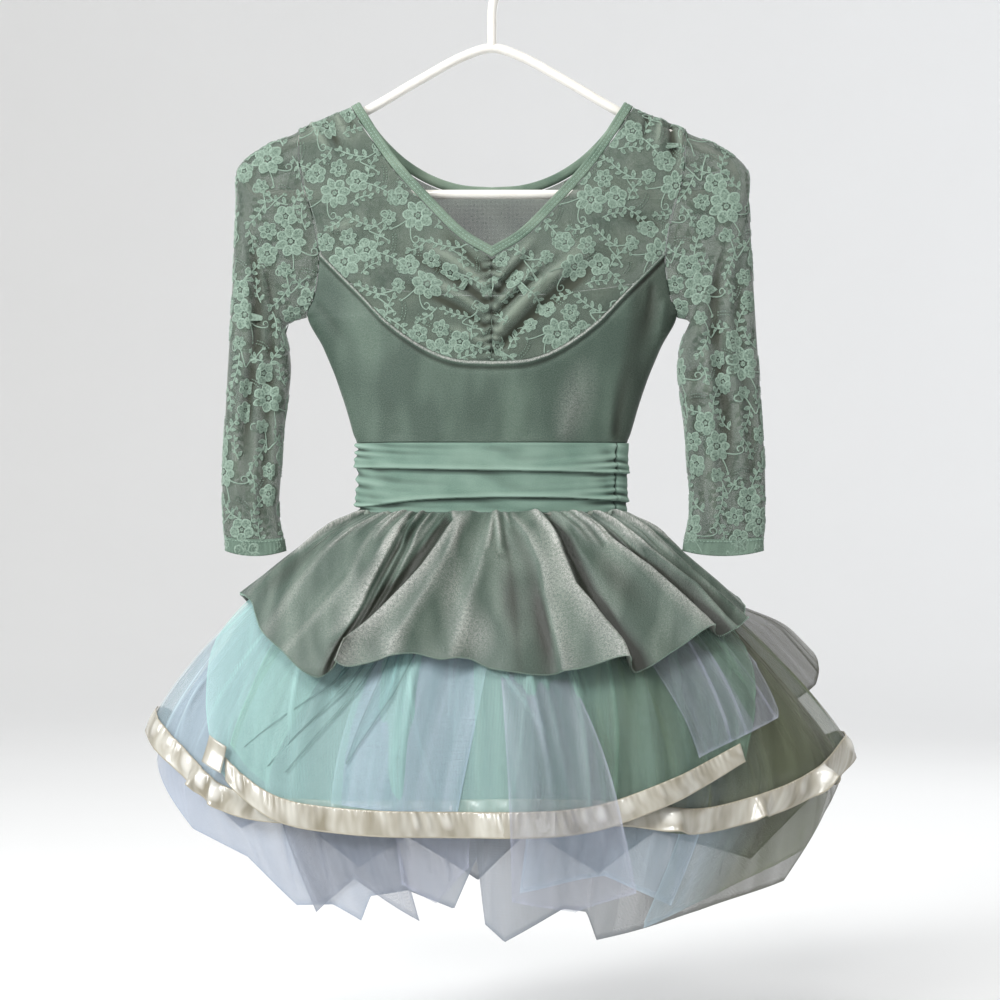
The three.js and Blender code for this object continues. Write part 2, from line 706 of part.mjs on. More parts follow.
// Side shares for columns at even angles across a half ring
function sideShares(count) {
  return evenly(count).map((t) => Math.sin((t - 0.5) * Math.PI));
}

// Columns at each row of a hem table, with even steps between
function sharesOfTable(table, between) {
  const shares = [];
  for (let i = 0; i < table.length - 1; i += 1) {
    const [from, to] = [table[i].side, table[i + 1].side];
    const parts = to - from > 0.1 ? between : 1;
    for (let k = 0; k < parts; k += 1) shares.push(THREE.MathUtils.lerp(from, to, k / parts));
  }
  return [...shares, 1];
}

function addRibbon(name, surface, side) {
  const hemRows = (out) => surface(out).slice(-2);
  const outer = hemRows(SEAM_GAP + RIBBON);
  wall(name, COLOURS.ribbon, outer, hemRows(SEAM_GAP), { flip: side > 0 });
}

function addSkirt(side) {
  const word = side < 0 ? 'front' : 'back';
  const front = side < 0;
  const rowsToHem = [0, 0.018, 0.06, 0.2, 0.48];
  const pointsTable = front ? FRONT_POINTS : BACK_POINTS;
  skirtPanel({
    name: `under_tulle_${word}`,
    colour: COLOURS.underTulle,
    side,
    layer: 0,
    hem: linesOf(pointsTable, 'side', 'z'),
    columns: sharesOfTable(pointsTable, front ? 2 : 3),
    rows: [0, 0.014, 0.05, 0.17, 0.5],
    extra: (angle, z) => -UNDER_CLEAR * fromWaist(z),
  });
  const low = skirtPanel({
    name: `tulle_low_${word}`,
    colour: COLOURS.tulle,
    side,
    layer: 1,
    hem: curveOf(LOW_TIER_HEM, 'side', 'z'),
    columns: sideShares(front ? 38 : 32),
    rows: rowsToHem,
    extra: ruffle,
    lastRise: RIBBON_RISE,
  });
  addRibbon(`ribbon_low_${word}`, low, side);
  const edge = curveOf(TOP_TIER_EDGE, 'z', 'angle');
  const top = skirtPanel({
    name: `tulle_top_${word}`,
    colour: COLOURS.tulle,
    side,
    layer: 2.7,
    hem: curveOf(TOP_TIER_HEM, 'side', 'z'),
    columns: evenly(front ? 26 : 22).map((t) => 2 * t - 1),
    rows: rowsToHem,
    edge,
    extra: ruffle,
    lastRise: RIBBON_RISE,
  });
  addRibbon(`ribbon_top_${word}`, top, side);
  const folds = front ? PEPLUM_FOLDS_FRONT : PEPLUM_FOLDS_BACK;
  skirtPanel({
    name: `peplum_${word}`,
    colour: COLOURS.velvet,
    side,
    layer: 4.1,
    hem: curveOf(PEPLUM_HEM, 'side', 'z'),
    columns: sideShares(front ? 76 : 44),
    rows: [0, 0.03, 0.1, 0.3, 0.62],
    extra: (angle, z) => ruffle(angle, z) + peplumFold(angle, z, folds),
  });
}

// Hanger: arms and bar of one tube, with the hook rising from the top
const wasm = await Module();
wasm.setup();

function solidOf(geometry) {
  const bare = geometry.clone();
  bare.deleteAttribute('normal');
  bare.deleteAttribute('uv');
  const merged = mergeVertices(bare, 1e-4);
  const vertProperties = Float32Array.from(merged.attributes.position.array);
  const triVerts = Uint32Array.from(merged.index.array);
  return new wasm.Manifold(new wasm.Mesh({ numProp: 3, vertProperties, triVerts }));
}

function geometryOf(solid) {
  const { vertProperties, triVerts } = solid.getMesh();
  const geometry = new THREE.BufferGeometry();
  geometry.setAttribute('position', new THREE.BufferAttribute(Float32Array.from(vertProperties), 3));
  geometry.setIndex(new THREE.BufferAttribute(Uint32Array.from(triVerts), 1));
  geometry.computeVertexNormals();
  return geometry;
}

function tube(points, steps) {
  const section = new THREE.Shape();
  for (let k = 0; k < TUBE_SIDES; k += 1) {
    const angle = (2 * Math.PI * (k + 0.5)) / TUBE_SIDES;
    const [x, y] = [TUBE_RADIUS * Math.cos(angle), TUBE_RADIUS * Math.sin(angle)];
    if (k === 0) section.moveTo(x, y);
    else section.lineTo(x, y);
  }
  const path = new THREE.CatmullRomCurve3(points, false, 'centripetal');
  return new THREE.ExtrudeGeometry(section, { steps, extrudePath: path, bevelEnabled: false });
}

function addHanger() {
  const at = (x, z) => new THREE.Vector3(x, 0, z);
  const rightArm = [
    at(0, -94),
    at(24, -101),
    at(60, -120.5),
    at(NECK_POINT.x, NECK_POINT.z - ARM_BELOW),
    at(SHOULDER_TIP.x, SHOULDER_TIP.z - ARM_BELOW),
    at(185, -182),
    at(200, -193.5),
    at(204, -204),
    at(198, -214.5),
    at(HANGER_BAR_HALF, HANGER_BAR_Z),
    at(HANGER_BAR_HALF - 12, HANGER_BAR_Z),
  ];
  const leftArm = rightArm.slice(1).map((point) => at(-point.x, point.z)).reverse();
  const arms = tube([...leftArm, ...rightArm], 46);
  const bar = tube([at(-HANGER_BAR_HALF + 6, HANGER_BAR_Z), at(HANGER_BAR_HALF - 6, HANGER_BAR_Z)], 2);
  const hookCentre = -HOOK_RADIUS + TUBE_RADIUS;
  const loop = evenly(10).map((t) => {
    const angle = THREE.MathUtils.degToRad(THREE.MathUtils.lerp(-35, 205, t));
    return at(HOOK_RADIUS * Math.cos(angle), hookCentre + HOOK_RADIUS * Math.sin(angle));
  });
  const hook = tube([at(0, -94), at(0, -74), at(1, -56), at(8, -40), ...loop], 26);
  const joined = solidOf(arms).add(solidOf(bar)).add(solidOf(hook));
  addPiece('hanger', geometryOf(joined), COLOURS.plastic, 0.35);
}

addHanger();
addFrontYoke('yoke_front_left', -1);
addFrontYoke('yoke_front_right', 1);
addBackYoke();
addNeckBinding();
addBodice('bodice_front', -1);
addBodice('bodice_back', 1);
addSleeve('sleeve_left', -1);
addSleeve('sleeve_right', 1);
addSash('sash_front', -1);
addSash('sash_back', 1);
addSkirt(-1);
addSkirt(1);

export default group;
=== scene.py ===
# %% [markdown]
# A ballet dress on its hanger
#
# The dress is lace at the yoke and sleeves, stretch velvet in the bodice and the peplum, a jersey
# sash, and a skirt of tulle tiers with satin ribbon on their hems. Each piece of cloth is a thin
# sheet that follows the solid that the frame holds for it. The sheet is finer than the solid: it
# has the folds, the gathers, the hems and the stitches. The tables hold millimetres, as a pattern
# cutter works, and every mesh is written in metres.

# %% Load the frame
import math

import bmesh
import bpy
import numpy as np
from mathutils import Matrix, Vector
from mathutils.bvhtree import BVHTree


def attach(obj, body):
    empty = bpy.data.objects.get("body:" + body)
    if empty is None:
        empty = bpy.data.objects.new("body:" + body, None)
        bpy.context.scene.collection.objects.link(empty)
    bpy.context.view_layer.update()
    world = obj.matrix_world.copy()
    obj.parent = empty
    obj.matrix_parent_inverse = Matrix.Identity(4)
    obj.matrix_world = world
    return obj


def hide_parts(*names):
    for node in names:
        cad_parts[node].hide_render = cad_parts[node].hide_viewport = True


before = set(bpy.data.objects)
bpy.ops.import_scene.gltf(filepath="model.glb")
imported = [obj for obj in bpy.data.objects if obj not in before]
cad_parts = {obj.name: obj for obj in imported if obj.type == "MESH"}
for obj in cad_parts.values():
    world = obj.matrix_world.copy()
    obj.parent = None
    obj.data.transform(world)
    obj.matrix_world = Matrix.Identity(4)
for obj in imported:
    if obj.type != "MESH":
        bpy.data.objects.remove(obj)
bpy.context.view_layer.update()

MM = 0.001
FRONT, BACK = -1, 1

# %% [markdown]
# Tables and curves
#
# A cutter gives a shape by a few widths at named heights, and draws a smooth line through them.
# curve_of does the same with a table's columns, and lines_of joins them with straight lines, as
# for a raw edge that was cut with scissors.

# %% Read a table as a curve
def table(columns, *rows):
    return {name: np.array(column, float) for name, column in zip(columns.split(), zip(*rows))}


def curve_of(rows, by, column):
    order = np.argsort(rows[by])
    at_rows, values = rows[by][order], rows[column][order]
    slopes = np.gradient(values, at_rows)
    slopes[1:-1] = (values[2:] - values[:-2]) / (at_rows[2:] - at_rows[:-2])

    def read(at):
        at = np.asarray(at, float)
        i = np.clip(np.searchsorted(at_rows, at, side="right") - 1, 0, len(at_rows) - 2)
        span = at_rows[i + 1] - at_rows[i]
        t = np.clip((at - at_rows[i]) / span, 0, 1)
        rise = values[i + 1] - values[i]
        bend = (1 - t) * (slopes[i] * span - rise) + t * (rise - slopes[i + 1] * span)
        return values[i] + rise * t + t * (1 - t) * bend

    return read


def lines_of(rows, by, column):
    order = np.argsort(rows[by])
    return lambda at: np.interp(at, rows[by][order], rows[column][order])


def mix(a, b, share):
    return a + (b - a) * share


def smooth(value, low, high):
    t = np.clip((value - low) / (high - low), 0, 1)
    return t * t * (3 - 2 * t)


def bump(distance, wide):
    return np.exp(-((distance / wide) ** 2))


def unit(vectors):
    return vectors / np.maximum(np.linalg.norm(vectors, axis=-1, keepdims=True), 1e-9)


# %% [markdown]
# Uneven folds
#
# Real cloth never folds evenly. small_gathers scatters narrow ridges of uneven length and height
# from a fixed seed, so every run is the same.

# %% Helpers for uneven folds
def small_gathers(angle, z, seed, count, spread, top, reach, high, wide):
    """Narrow ridges that run down from the waist: spread is how far round they lie, reach how far
    down they run, high and wide their size. Each pair is a least and a most."""
    dice = np.random.default_rng(seed)
    total = np.zeros(np.broadcast(angle, z).shape)
    for _ in range(count):
        middle = dice.uniform(*spread)
        drift = dice.normal() * 2.0
        end = top - dice.uniform(*reach)
        height = dice.uniform(*high) * dice.choice([-0.4, 1], p=[0.35, 0.65])
        width = dice.uniform(*wide)
        down = np.clip((top - z) / (top - end), 0, 1)
        fade = np.sin(np.pi * np.clip(down, 0, 1)) ** 0.6
        total += height * fade * bump(angle - middle - drift * down, width)
    return total


# %% [markdown]
# Sheets of cloth
#
# A sheet is a grid of points, rows from top to bottom. Its UV map holds the place on the flat
# cloth in metres, so a weave keeps its scale wherever the cloth bends. Solidify turns a sheet
# into a wall where the real cloth is thick, and the sheer nets stay single.

# %% Make a sheet from a grid of points
def flat_map(points):
    """Place on the flat cloth: distance along each row and down each column, in metres."""
    along = np.linalg.norm(np.diff(points, axis=1), axis=-1)
    down = np.linalg.norm(np.diff(points, axis=0), axis=-1)
    u = np.concatenate([np.zeros((len(points), 1)), np.cumsum(along, axis=1)], axis=1)
    v = np.concatenate([np.zeros((1, points.shape[1])), np.cumsum(down, axis=0)], axis=0)
    u -= u[:, [u.shape[1] // 2]]
    return np.stack([u, -v], axis=-1) * MM


def cut_of(points):
    """The cloth's longest width and length and its area, in metres, off the grid itself."""
    place = flat_map(points)
    width = (place[:, -1, 0] - place[:, 0, 0]).max()
    length = (place[0, :, 1] - place[-1, :, 1]).max()
    across = points[:-1, 1:] - points[:-1, :-1]
    down = points[1:, :-1] - points[:-1, :-1]
    area = np.linalg.norm(np.cross(across, down), axis=-1).sum() * MM * MM
    width = max(width, area / length)
    return round(width, 4), round(length, 4), round(min(area, width * length), 5)


def new_object(name, mesh, material=None):
    piece = bpy.data.objects.new(name, mesh)
    bpy.context.scene.collection.objects.link(piece)
    if material is not None:
        mesh.materials.append(material)
    return piece


def sheet(name, points, material, side=FRONT, ring=False, fields=None, thick=0.0, place=None):
    """A sheet from a grid of points in millimetres. side is the way its right side faces."""
    rows, columns = points.shape[:2]
    index = np.arange(rows * columns).reshape(rows, columns)
    if ring:
        index = np.concatenate([index, index[:, :1]], axis=1)
        points_round = np.concatenate([points, points[:, :1]], axis=1)
    else:
        points_round = points
    place = flat_map(points_round) if place is None else place
    corners = [(slice(None, -1), slice(None, -1)), (slice(1, None), slice(None, -1)),
               (slice(1, None), slice(1, None)), (slice(None, -1), slice(1, None))]
    if side == BACK:
        corners = corners[::-1]
    quads = np.stack([index[corner] for corner in corners], axis=-1).reshape(-1, 4)
    uvs = np.stack([place[corner] for corner in corners], axis=2).reshape(-1, 2)
    mesh = bpy.data.meshes.new(name)
    mesh.from_pydata((points.reshape(-1, 3) * MM).tolist(), [], quads.tolist())
    layer = mesh.uv_layers.new(name="cloth")
    layer.data.foreach_set("uv", uvs.ravel())
    for field, values in (fields or {}).items():
        attribute = mesh.attributes.new(field, "FLOAT", "POINT")
        attribute.data.foreach_set("value", np.broadcast_to(values, (rows, columns)).ravel())
    mesh.shade_smooth()
    piece = new_object(name, mesh, material)
    if thick:
        solid = piece.modifiers.new("thickness", "SOLIDIFY")
        solid.thickness = thick * MM
        solid.offset = -1
        if material in (VELVET, CRUSHED_VELVET):
            mesh.materials.append(BACKING)
            solid.material_offset = 1
    return piece


def hand_in(piece, nodes=(), cut=None):
    """Says what a piece rides on and what it stands for. cut, how its cloth was cut, is not used."""
    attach(piece, "root")
    if nodes:
        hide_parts(*nodes)
    return piece


# %% [markdown]
# Materials
#
# A cloth's finish is its colour, its weave and how its surface catches light. Velvet and lace
# glow where they turn away, so they use the shader's sheen. The nets are see-through between
# their threads, which a node pattern cuts out of the alpha. All patterns read the cloth's own UV
# map in metres, or an attribute, so they stay with the cloth. Numbers that are the same all over
# are set on the shader's own sockets.

# %% Node helpers
SEEN_TO_OWN = 0.74


def linear(red, green, blue):
    """A colour as it is seen in the photograph's bright light, 0 to 255, as a shader's linear
    values. The cloth's own colour is darker than it is seen, by SEEN_TO_OWN."""
    def channel(value):
        value /= 255
        value = value / 12.92 if value <= 0.04045 else ((value + 0.055) / 1.055) ** 2.4
        return value * SEEN_TO_OWN
    return channel(red), channel(green), channel(blue), 1.0


class Nodes:
    """A material's nodes, added with short calls."""

    def __init__(self, name):
        self.material = bpy.data.materials.new(name)
        self.material.use_nodes = True
        self.tree = self.material.node_tree
        self.shader = self.tree.nodes["Principled BSDF"]

    def set(self, **values):
        for socket, value in values.items():
            self.shader.inputs[socket.replace("_", " ")].default_value = value
        return self

    def add(self, kind, links=(), **settings):
        node = self.tree.nodes.new(kind)
        for key, value in settings.items():
            setattr(node, key, value)
        for socket, value in dict(links).items():
            if isinstance(value, bpy.types.NodeSocket):
                self.tree.links.new(value, node.inputs[socket])
            else:
                node.inputs[socket].default_value = value
        return node

    def place(self):
        return self.add("ShaderNodeUVMap", uv_map="cloth").outputs["UV"]

    def field(self, name):
        return self.add("ShaderNodeAttribute", attribute_name=name).outputs["Fac"]

    def noise(self, scale, detail=2.0, at=None, rough=0.5):
        links = {"Vector": at or self.place(), "Scale": scale, "Detail": detail, "Roughness": rough}
        return self.add("ShaderNodeTexNoise", links).outputs["Fac"]

    def stretched(self, x, y):
        """The cloth's own place, scaled differently along and across."""
        links = {"Vector": self.place(), "Scale": (x, y, 1)}
        return self.add("ShaderNodeMapping", links).outputs["Vector"]

    def ramp(self, value, low, high):
        links = {"Value": value, "From Min": low, "From Max": high}
        return self.add("ShaderNodeMapRange", links, clamp=True).outputs["Result"]

    def math(self, operation, a, b=0.0):
        node = self.add("ShaderNodeMath", {0: a, 1: b}, operation=operation)
        return node.outputs["Value"]

    def blend(self, share, low, high):
        node = self.add("ShaderNodeMix", data_type="RGBA")
        for socket, value in zip((0, 6, 7), (share, low, high)):
            if isinstance(value, bpy.types.NodeSocket):
                self.tree.links.new(value, node.inputs[socket])
            else:
                node.inputs[socket].default_value = value
        return node.outputs[2]

    def into(self, socket, value):
        self.tree.links.new(value, self.shader.inputs[socket])
        return self

    def relief(self, height, strength, distance):
        links = {"Height": height, "Strength": strength, "Distance": distance}
        return self.into("Normal", self.add("ShaderNodeBump", links).outputs["Normal"])


# %% [markdown]
# Cloth with a smooth face
#
# Velvet is dark where one looks into its pile and silvery where the pile lies flat. It follows the
# folds through the attribute ridge, with a painted highlight on each crest and painted shade in the
# valleys. Jersey is plain and matt, with painted shade in a fold's valley and a painted highlight
# on its crest. Satin has darker selvedges and a painted highlight on its puckers.

# %% Velvet, jersey and satin
def velvet_material(name, crush):
    """Short pile: dark green where it is looked into, silvery where it lies flat. The attribute
    ridge is 1 on the crest of a fold, where the pile is pressed and a painted highlight lies, and -1
    in a valley, where painted shade darkens it almost to black. crush is how much of the rest is
    pressed in patches."""
    cloth = Nodes(name)
    cloth.set(Roughness=0.52 - 0.3 * crush, Specular_IOR_Level=0.3 + crush, Sheen_Weight=0.42)
    cloth.set(Sheen_Roughness=0.3)
    cloth.set(Sheen_Tint=linear(235, 240, 236))
    ridge = cloth.field("ridge")
    crushed = cloth.ramp(cloth.noise(420, 4, rough=0.65), 0.38, 0.66)
    grain = cloth.ramp(cloth.noise(1300, 2), 0.42, 0.62)
    patch = cloth.ramp(cloth.noise(16, 2, at=cloth.stretched(1.5, 0.6)), 0.44, 0.66)
    colour = cloth.blend(patch, linear(52, 74, 62), linear(72, 97, 82))
    colour = cloth.blend(cloth.math("MULTIPLY", grain, 0.2), colour, linear(150, 160, 150))
    # Silver on the crests: pressed pile and a painted highlight, plus patches pressed by crush.
    pile_and_crest_light = cloth.math("MULTIPLY_ADD", cloth.ramp(ridge, 0.15, 1.0), 0.8)
    cloth.tree.links.new(cloth.math("MULTIPLY", patch, crush), pile_and_crest_light.node.inputs[2])
    speckle = cloth.math("ADD", cloth.math("MULTIPLY", crushed, 0.5),
                         cloth.math("MULTIPLY", grain, 0.5))
    silver_pile_and_highlight = cloth.math("MULTIPLY", pile_and_crest_light, cloth.math("ADD", speckle, 0.08))
    silver_pile_and_highlight.node.use_clamp = True
    colour = cloth.blend(silver_pile_and_highlight, colour, linear(216, 214, 209))
    # Painted shade: the valleys of the folds are darkened almost to black.
    colour = cloth.blend(cloth.ramp(ridge, -0.05, -0.75), colour, linear(30, 36, 24))
    cloth.into("Base Color", colour)
    height = cloth.math("ADD", cloth.noise(1500, 3), cloth.math("MULTIPLY", crushed, 0.5))
    cloth.relief(height, 0.7, 0.0005)
    return cloth.material


def jersey_material(name="matte jersey", light=(128, 154, 140), dark=(100, 128, 115)):
    """Fine knit ribs, 0.6 mm apart, with a soft matte face, painted shade in the valley of a fold
    and a painted highlight on its crest.
    """
    cloth = Nodes(name)
    cloth.set(Roughness=0.7, Specular_IOR_Level=0.25, Sheen_Weight=0.25, Sheen_Roughness=0.5)
    cloth.set(Sheen_Tint=linear(200, 224, 212))
    ribs = cloth.add("ShaderNodeTexWave", {"Vector": cloth.place(), "Scale": 520.0},
                     wave_type="BANDS", bands_direction="X").outputs["Fac"]
    speck = cloth.ramp(cloth.noise(1100, 2), 0.34, 0.68)
    soft = cloth.ramp(cloth.noise(26, 3), 0.3, 0.7)
    colour = cloth.blend(soft, linear(*dark), linear(*light))
    colour = cloth.blend(cloth.math("MULTIPLY", speck, 0.2), colour, linear(150, 182, 166))
    ridge = cloth.field("ridge")
    # Painted shade in the valley of a fold.
    valley = cloth.math("MULTIPLY", cloth.ramp(ridge, -0.05, -1.0), 0.85)
    colour = cloth.blend(valley, colour, linear(*(0.42 * value for value in dark)))
    # Painted highlight on the crest of a fold.
    crest = cloth.math("MULTIPLY", cloth.ramp(ridge, 0.1, 1.0), 0.4)
    colour = cloth.blend(crest, colour, linear(168, 194, 180))
    cloth.into("Base Color", colour)
    cloth.relief(cloth.math("ADD", ribs, speck), 0.35, 0.00025)
    return cloth.material


def satin_material():
    """Cream satin ribbon: a smooth face with fine threads across."""
    cloth = Nodes("cream satin")
    cloth.set(Roughness=0.19, Specular_IOR_Level=1.0, Anisotropic=0.4, Sheen_Weight=0.1)
    threads = cloth.add("ShaderNodeTexWave", {"Vector": cloth.place(), "Scale": 700.0},
                        wave_type="BANDS", bands_direction="X").outputs["Fac"]
    tone = cloth.ramp(cloth.noise(24, 2, at=cloth.stretched(2.6, 0.8)), 0.32, 0.68)
    colour = cloth.blend(tone, linear(142, 135, 116), linear(206, 203, 192))
    # Painted highlight: the satin is lighter on its puckers.
    colour = cloth.blend(cloth.ramp(cloth.field("pucker"), 0.2, 0.9), colour, linear(234, 232, 225))
    selvedge = cloth.ramp(cloth.field("edge"), 0.82, 0.97)
    cloth.into("Base Color", cloth.blend(selvedge, colour, linear(172, 164, 144)))
    cloth.relief(threads, 0.2, 0.00015)
    return cloth.material


# %% [markdown]
# Cloth that is mostly holes
#
# Lace net and tulle are fine cells of thread, and their alpha is open between the threads. The
# cover is higher in the valleys of the lace net and in the creases of the tulle, where real net
# lies double.

# %% Lace and tulle
def net_holes(cloth, cell, thread):
    """1 on the threads of a fine net of cells, 0 in the holes. Sizes in metres."""
    links = {"Vector": cloth.place(), "Scale": 1 / cell, "Randomness": 0.35}
    edge = cloth.add("ShaderNodeTexVoronoi", links, feature="DISTANCE_TO_EDGE").outputs["Distance"]
    share = thread / cell / 2
    return cloth.math("SUBTRACT", 1.0, cloth.ramp(edge, share * 0.6, share * 1.4))


def lace_net_material(name, density):
    """The sheer ground of the lace: a fine stretch net. It is denser in the valley of a fold, where
    it lies double, with painted shade there and a painted highlight on a crest."""
    cloth = Nodes(name)
    cloth.set(Roughness=0.8, Specular_IOR_Level=0.15, Sheen_Weight=0.3, Sheen_Roughness=0.5)
    soft = cloth.ramp(cloth.noise(40, 3), 0.3, 0.7)
    colour = cloth.blend(soft, linear(84, 98, 88), linear(108, 120, 108))
    ridge = cloth.field("ridge")
    # Painted shade in the valleys, which also raise the cover where the net lies double.
    valley = cloth.math("MULTIPLY", cloth.ramp(ridge, -0.05, -0.9), 0.85)
    # Painted highlight on the crests.
    crest = cloth.math("MULTIPLY", cloth.ramp(ridge, 0.1, 1.0), 0.6)
    colour = cloth.blend(valley, colour, linear(52, 54, 42))
    cloth.into("Base Color", cloth.blend(crest, colour, linear(152, 166, 150)))
    threads = net_holes(cloth, 0.0011, 0.00035)
    open_share = cloth.add("ShaderNodeMapRange", {"Value": threads, "To Min": density, "To Max": 0.95})
    cover = cloth.math("ADD", open_share.outputs["Result"], cloth.math("MULTIPLY", valley, 0.3))
    cover.node.use_clamp = True
    cloth.into("Alpha", cover)
    return cloth.material


def lace_thread_material():
    """The dense motifs: mottled fill, and a lighter cord on every outline."""
    cloth = Nodes("lace motifs")
    cloth.set(Roughness=0.72, Specular_IOR_Level=0.3, Sheen_Weight=0.35, Sheen_Roughness=0.45)
    at = cloth.add("ShaderNodeTexCoord").outputs["Object"]
    mottle = cloth.ramp(cloth.noise(700, 3, at=at, rough=0.6), 0.36, 0.64)
    fill = cloth.blend(mottle, linear(84, 106, 92), linear(142, 163, 148))
    rim = cloth.math("MULTIPLY", cloth.field("rim"), 0.6)
    cloth.into("Base Color", cloth.blend(rim, fill, linear(154, 177, 162)))
    cloth.relief(cloth.noise(1500, 2, at=at), 0.5, 0.0004)
    return cloth.material


def tulle_material(name, light, dark, density, left=None, turn=(0.1, -0.6), rim=None):
    """Soft net in fine cells. density is how much of it the eye meets, and creases add to it.
    left is the colour of the panels at the sheet's left, turn where the colours change, and rim
    the colour of its folded edges."""
    cloth = Nodes(name)
    cloth.set(Roughness=0.55, Specular_IOR_Level=0.3, Sheen_Weight=0.35, Sheen_Roughness=0.4)
    streak = cloth.ramp(cloth.noise(1, 3, at=cloth.stretched(60, 5)), 0.3, 0.7)
    colour = cloth.blend(streak, linear(*dark), linear(*light))
    if left:
        colour = cloth.blend(cloth.ramp(cloth.field("across"), *turn), colour, linear(*left))
    if rim:
        colour = cloth.blend(cloth.field("rim"), colour, linear(*rim))
    cloth.into("Base Color", colour)
    threads = net_holes(cloth, 0.0012, 0.00034)
    cover = cloth.math("MULTIPLY_ADD", threads, 0.22)
    cover.node.inputs[2].default_value = density - 0.08
    crease = cloth.math("MULTIPLY", cloth.field("crease"), 0.5)
    cover = cloth.math("ADD", cover, crease)
    uneven = cloth.math("MULTIPLY", cloth.math("SUBTRACT", streak, 0.5), 0.16)
    total = cloth.math("ADD", cover, uneven)
    total.node.use_clamp = True
    cloth.into("Alpha", total)
    return cloth.material


# %% [markdown]
# Thread and plastic
#
# The stitches have a soft thread finish and the hanger a glossy one. All finishes are made here
# once, with the tones of tulle by name.

# %% Thread, hanger plastic and the list of finishes
def thread_material(name, colour):
    thread = Nodes(name)
    thread.set(Roughness=0.5, Specular_IOR_Level=0.4, Sheen_Weight=0.3)
    at = thread.add("ShaderNodeTexCoord").outputs["Object"]
    twist = thread.ramp(thread.noise(2500, 2, at=at), 0.3, 0.7)
    darker = tuple(0.75 * value for value in linear(*colour)[:3]) + (1.0,)
    thread.into("Base Color", thread.blend(twist, darker, linear(*colour)))
    return thread.material


def plastic_material():
    """Glossy white tube with faint scuffs."""
    plastic = Nodes("white tube")
    plastic.set(Specular_IOR_Level=0.5, Coat_Weight=0.3, Coat_Roughness=0.12)
    at = plastic.add("ShaderNodeTexCoord").outputs["Object"]
    scuff = plastic.ramp(plastic.noise(60, 6, at=at, rough=0.65), 0.5, 0.75)
    plastic.into("Base Color", plastic.blend(scuff, linear(243, 240, 233), linear(228, 223, 212)))
    shine = plastic.add("ShaderNodeMapRange", {"Value": scuff, "To Min": 0.22, "To Max": 0.42})
    plastic.into("Roughness", shine.outputs["Result"])
    plastic.relief(scuff, 0.08, 0.0002)
    return plastic.material


VELVET = velvet_material("stretched velvet", 0.08)
CRUSHED_VELVET = velvet_material("crushed velvet", 0.24)
BACKING = jersey_material("velvet's knit backing", (128, 126, 120), (108, 106, 98))
JERSEY = jersey_material()
HEM_LACE = jersey_material("folded lace", (120, 142, 126), (82, 100, 88))
BINDING_CLOTH = jersey_material("binding jersey", (140, 158, 140), (84, 106, 90))
SATIN = satin_material()
YOKE_NET = lace_net_material("yoke's lace net", 0.66)
SLEEVE_NET = lace_net_material("sleeves' lace net", 0.42)
LACE_THREAD = lace_thread_material()
ICE = tulle_material("ice blue tulle", (196, 212, 226), (160, 184, 200), 0.42)
MINT = tulle_material("mint tulle", (170, 212, 200), (134, 178, 164), 0.4)
SAGE = tulle_material("sage tulle", (124, 132, 106), (90, 96, 72), 0.46, (176, 196, 206))
GREY = tulle_material("grey green tulle", (176, 204, 202), (136, 170, 164), 0.42)
TOP_TULLE = tulle_material("top tier's tulle", (128, 156, 140), (94, 124, 106), 0.46, (164, 204, 200),
                           (0.5, 0.0))
FOLDED = tulle_material("folded tulle", (150, 196, 196), (112, 156, 150), 0.2, rim=(58, 84, 78))
DENSE_LAVENDER = tulle_material("under-layer tulle", (158, 164, 176), (120, 128, 142), 0.6)
SHADED_SAGE = tulle_material("shaded sage tulle", (112, 110, 82), (84, 82, 56), 0.72)
UNDER_TULLE = tulle_material("under-layer's shaded tulle", (104, 105, 94), (78, 79, 68), 0.74,
                             (164, 174, 190), (0.5, -0.3))
THIN_LAVENDER = tulle_material("thin lavender tulle", (196, 200, 216), (160, 166, 188), 0.22)
STITCH = thread_material("sage thread", (150, 180, 162))
CREAM_THREAD = thread_material("cream thread", (222, 214, 196))
PLASTIC = plastic_material()
print("materials", len(bpy.data.materials))

# %% [markdown]
# Copies along a path
#
# Stitches, lace motifs and beads repeat hundreds of times. A Geometry Nodes tree puts a copy of
# one small mesh on every point of a list, turned and sized by attributes of the points, and
# realizes the copies, because the export keeps meshes and drops instances. The result becomes a
# plain mesh and the tree goes.

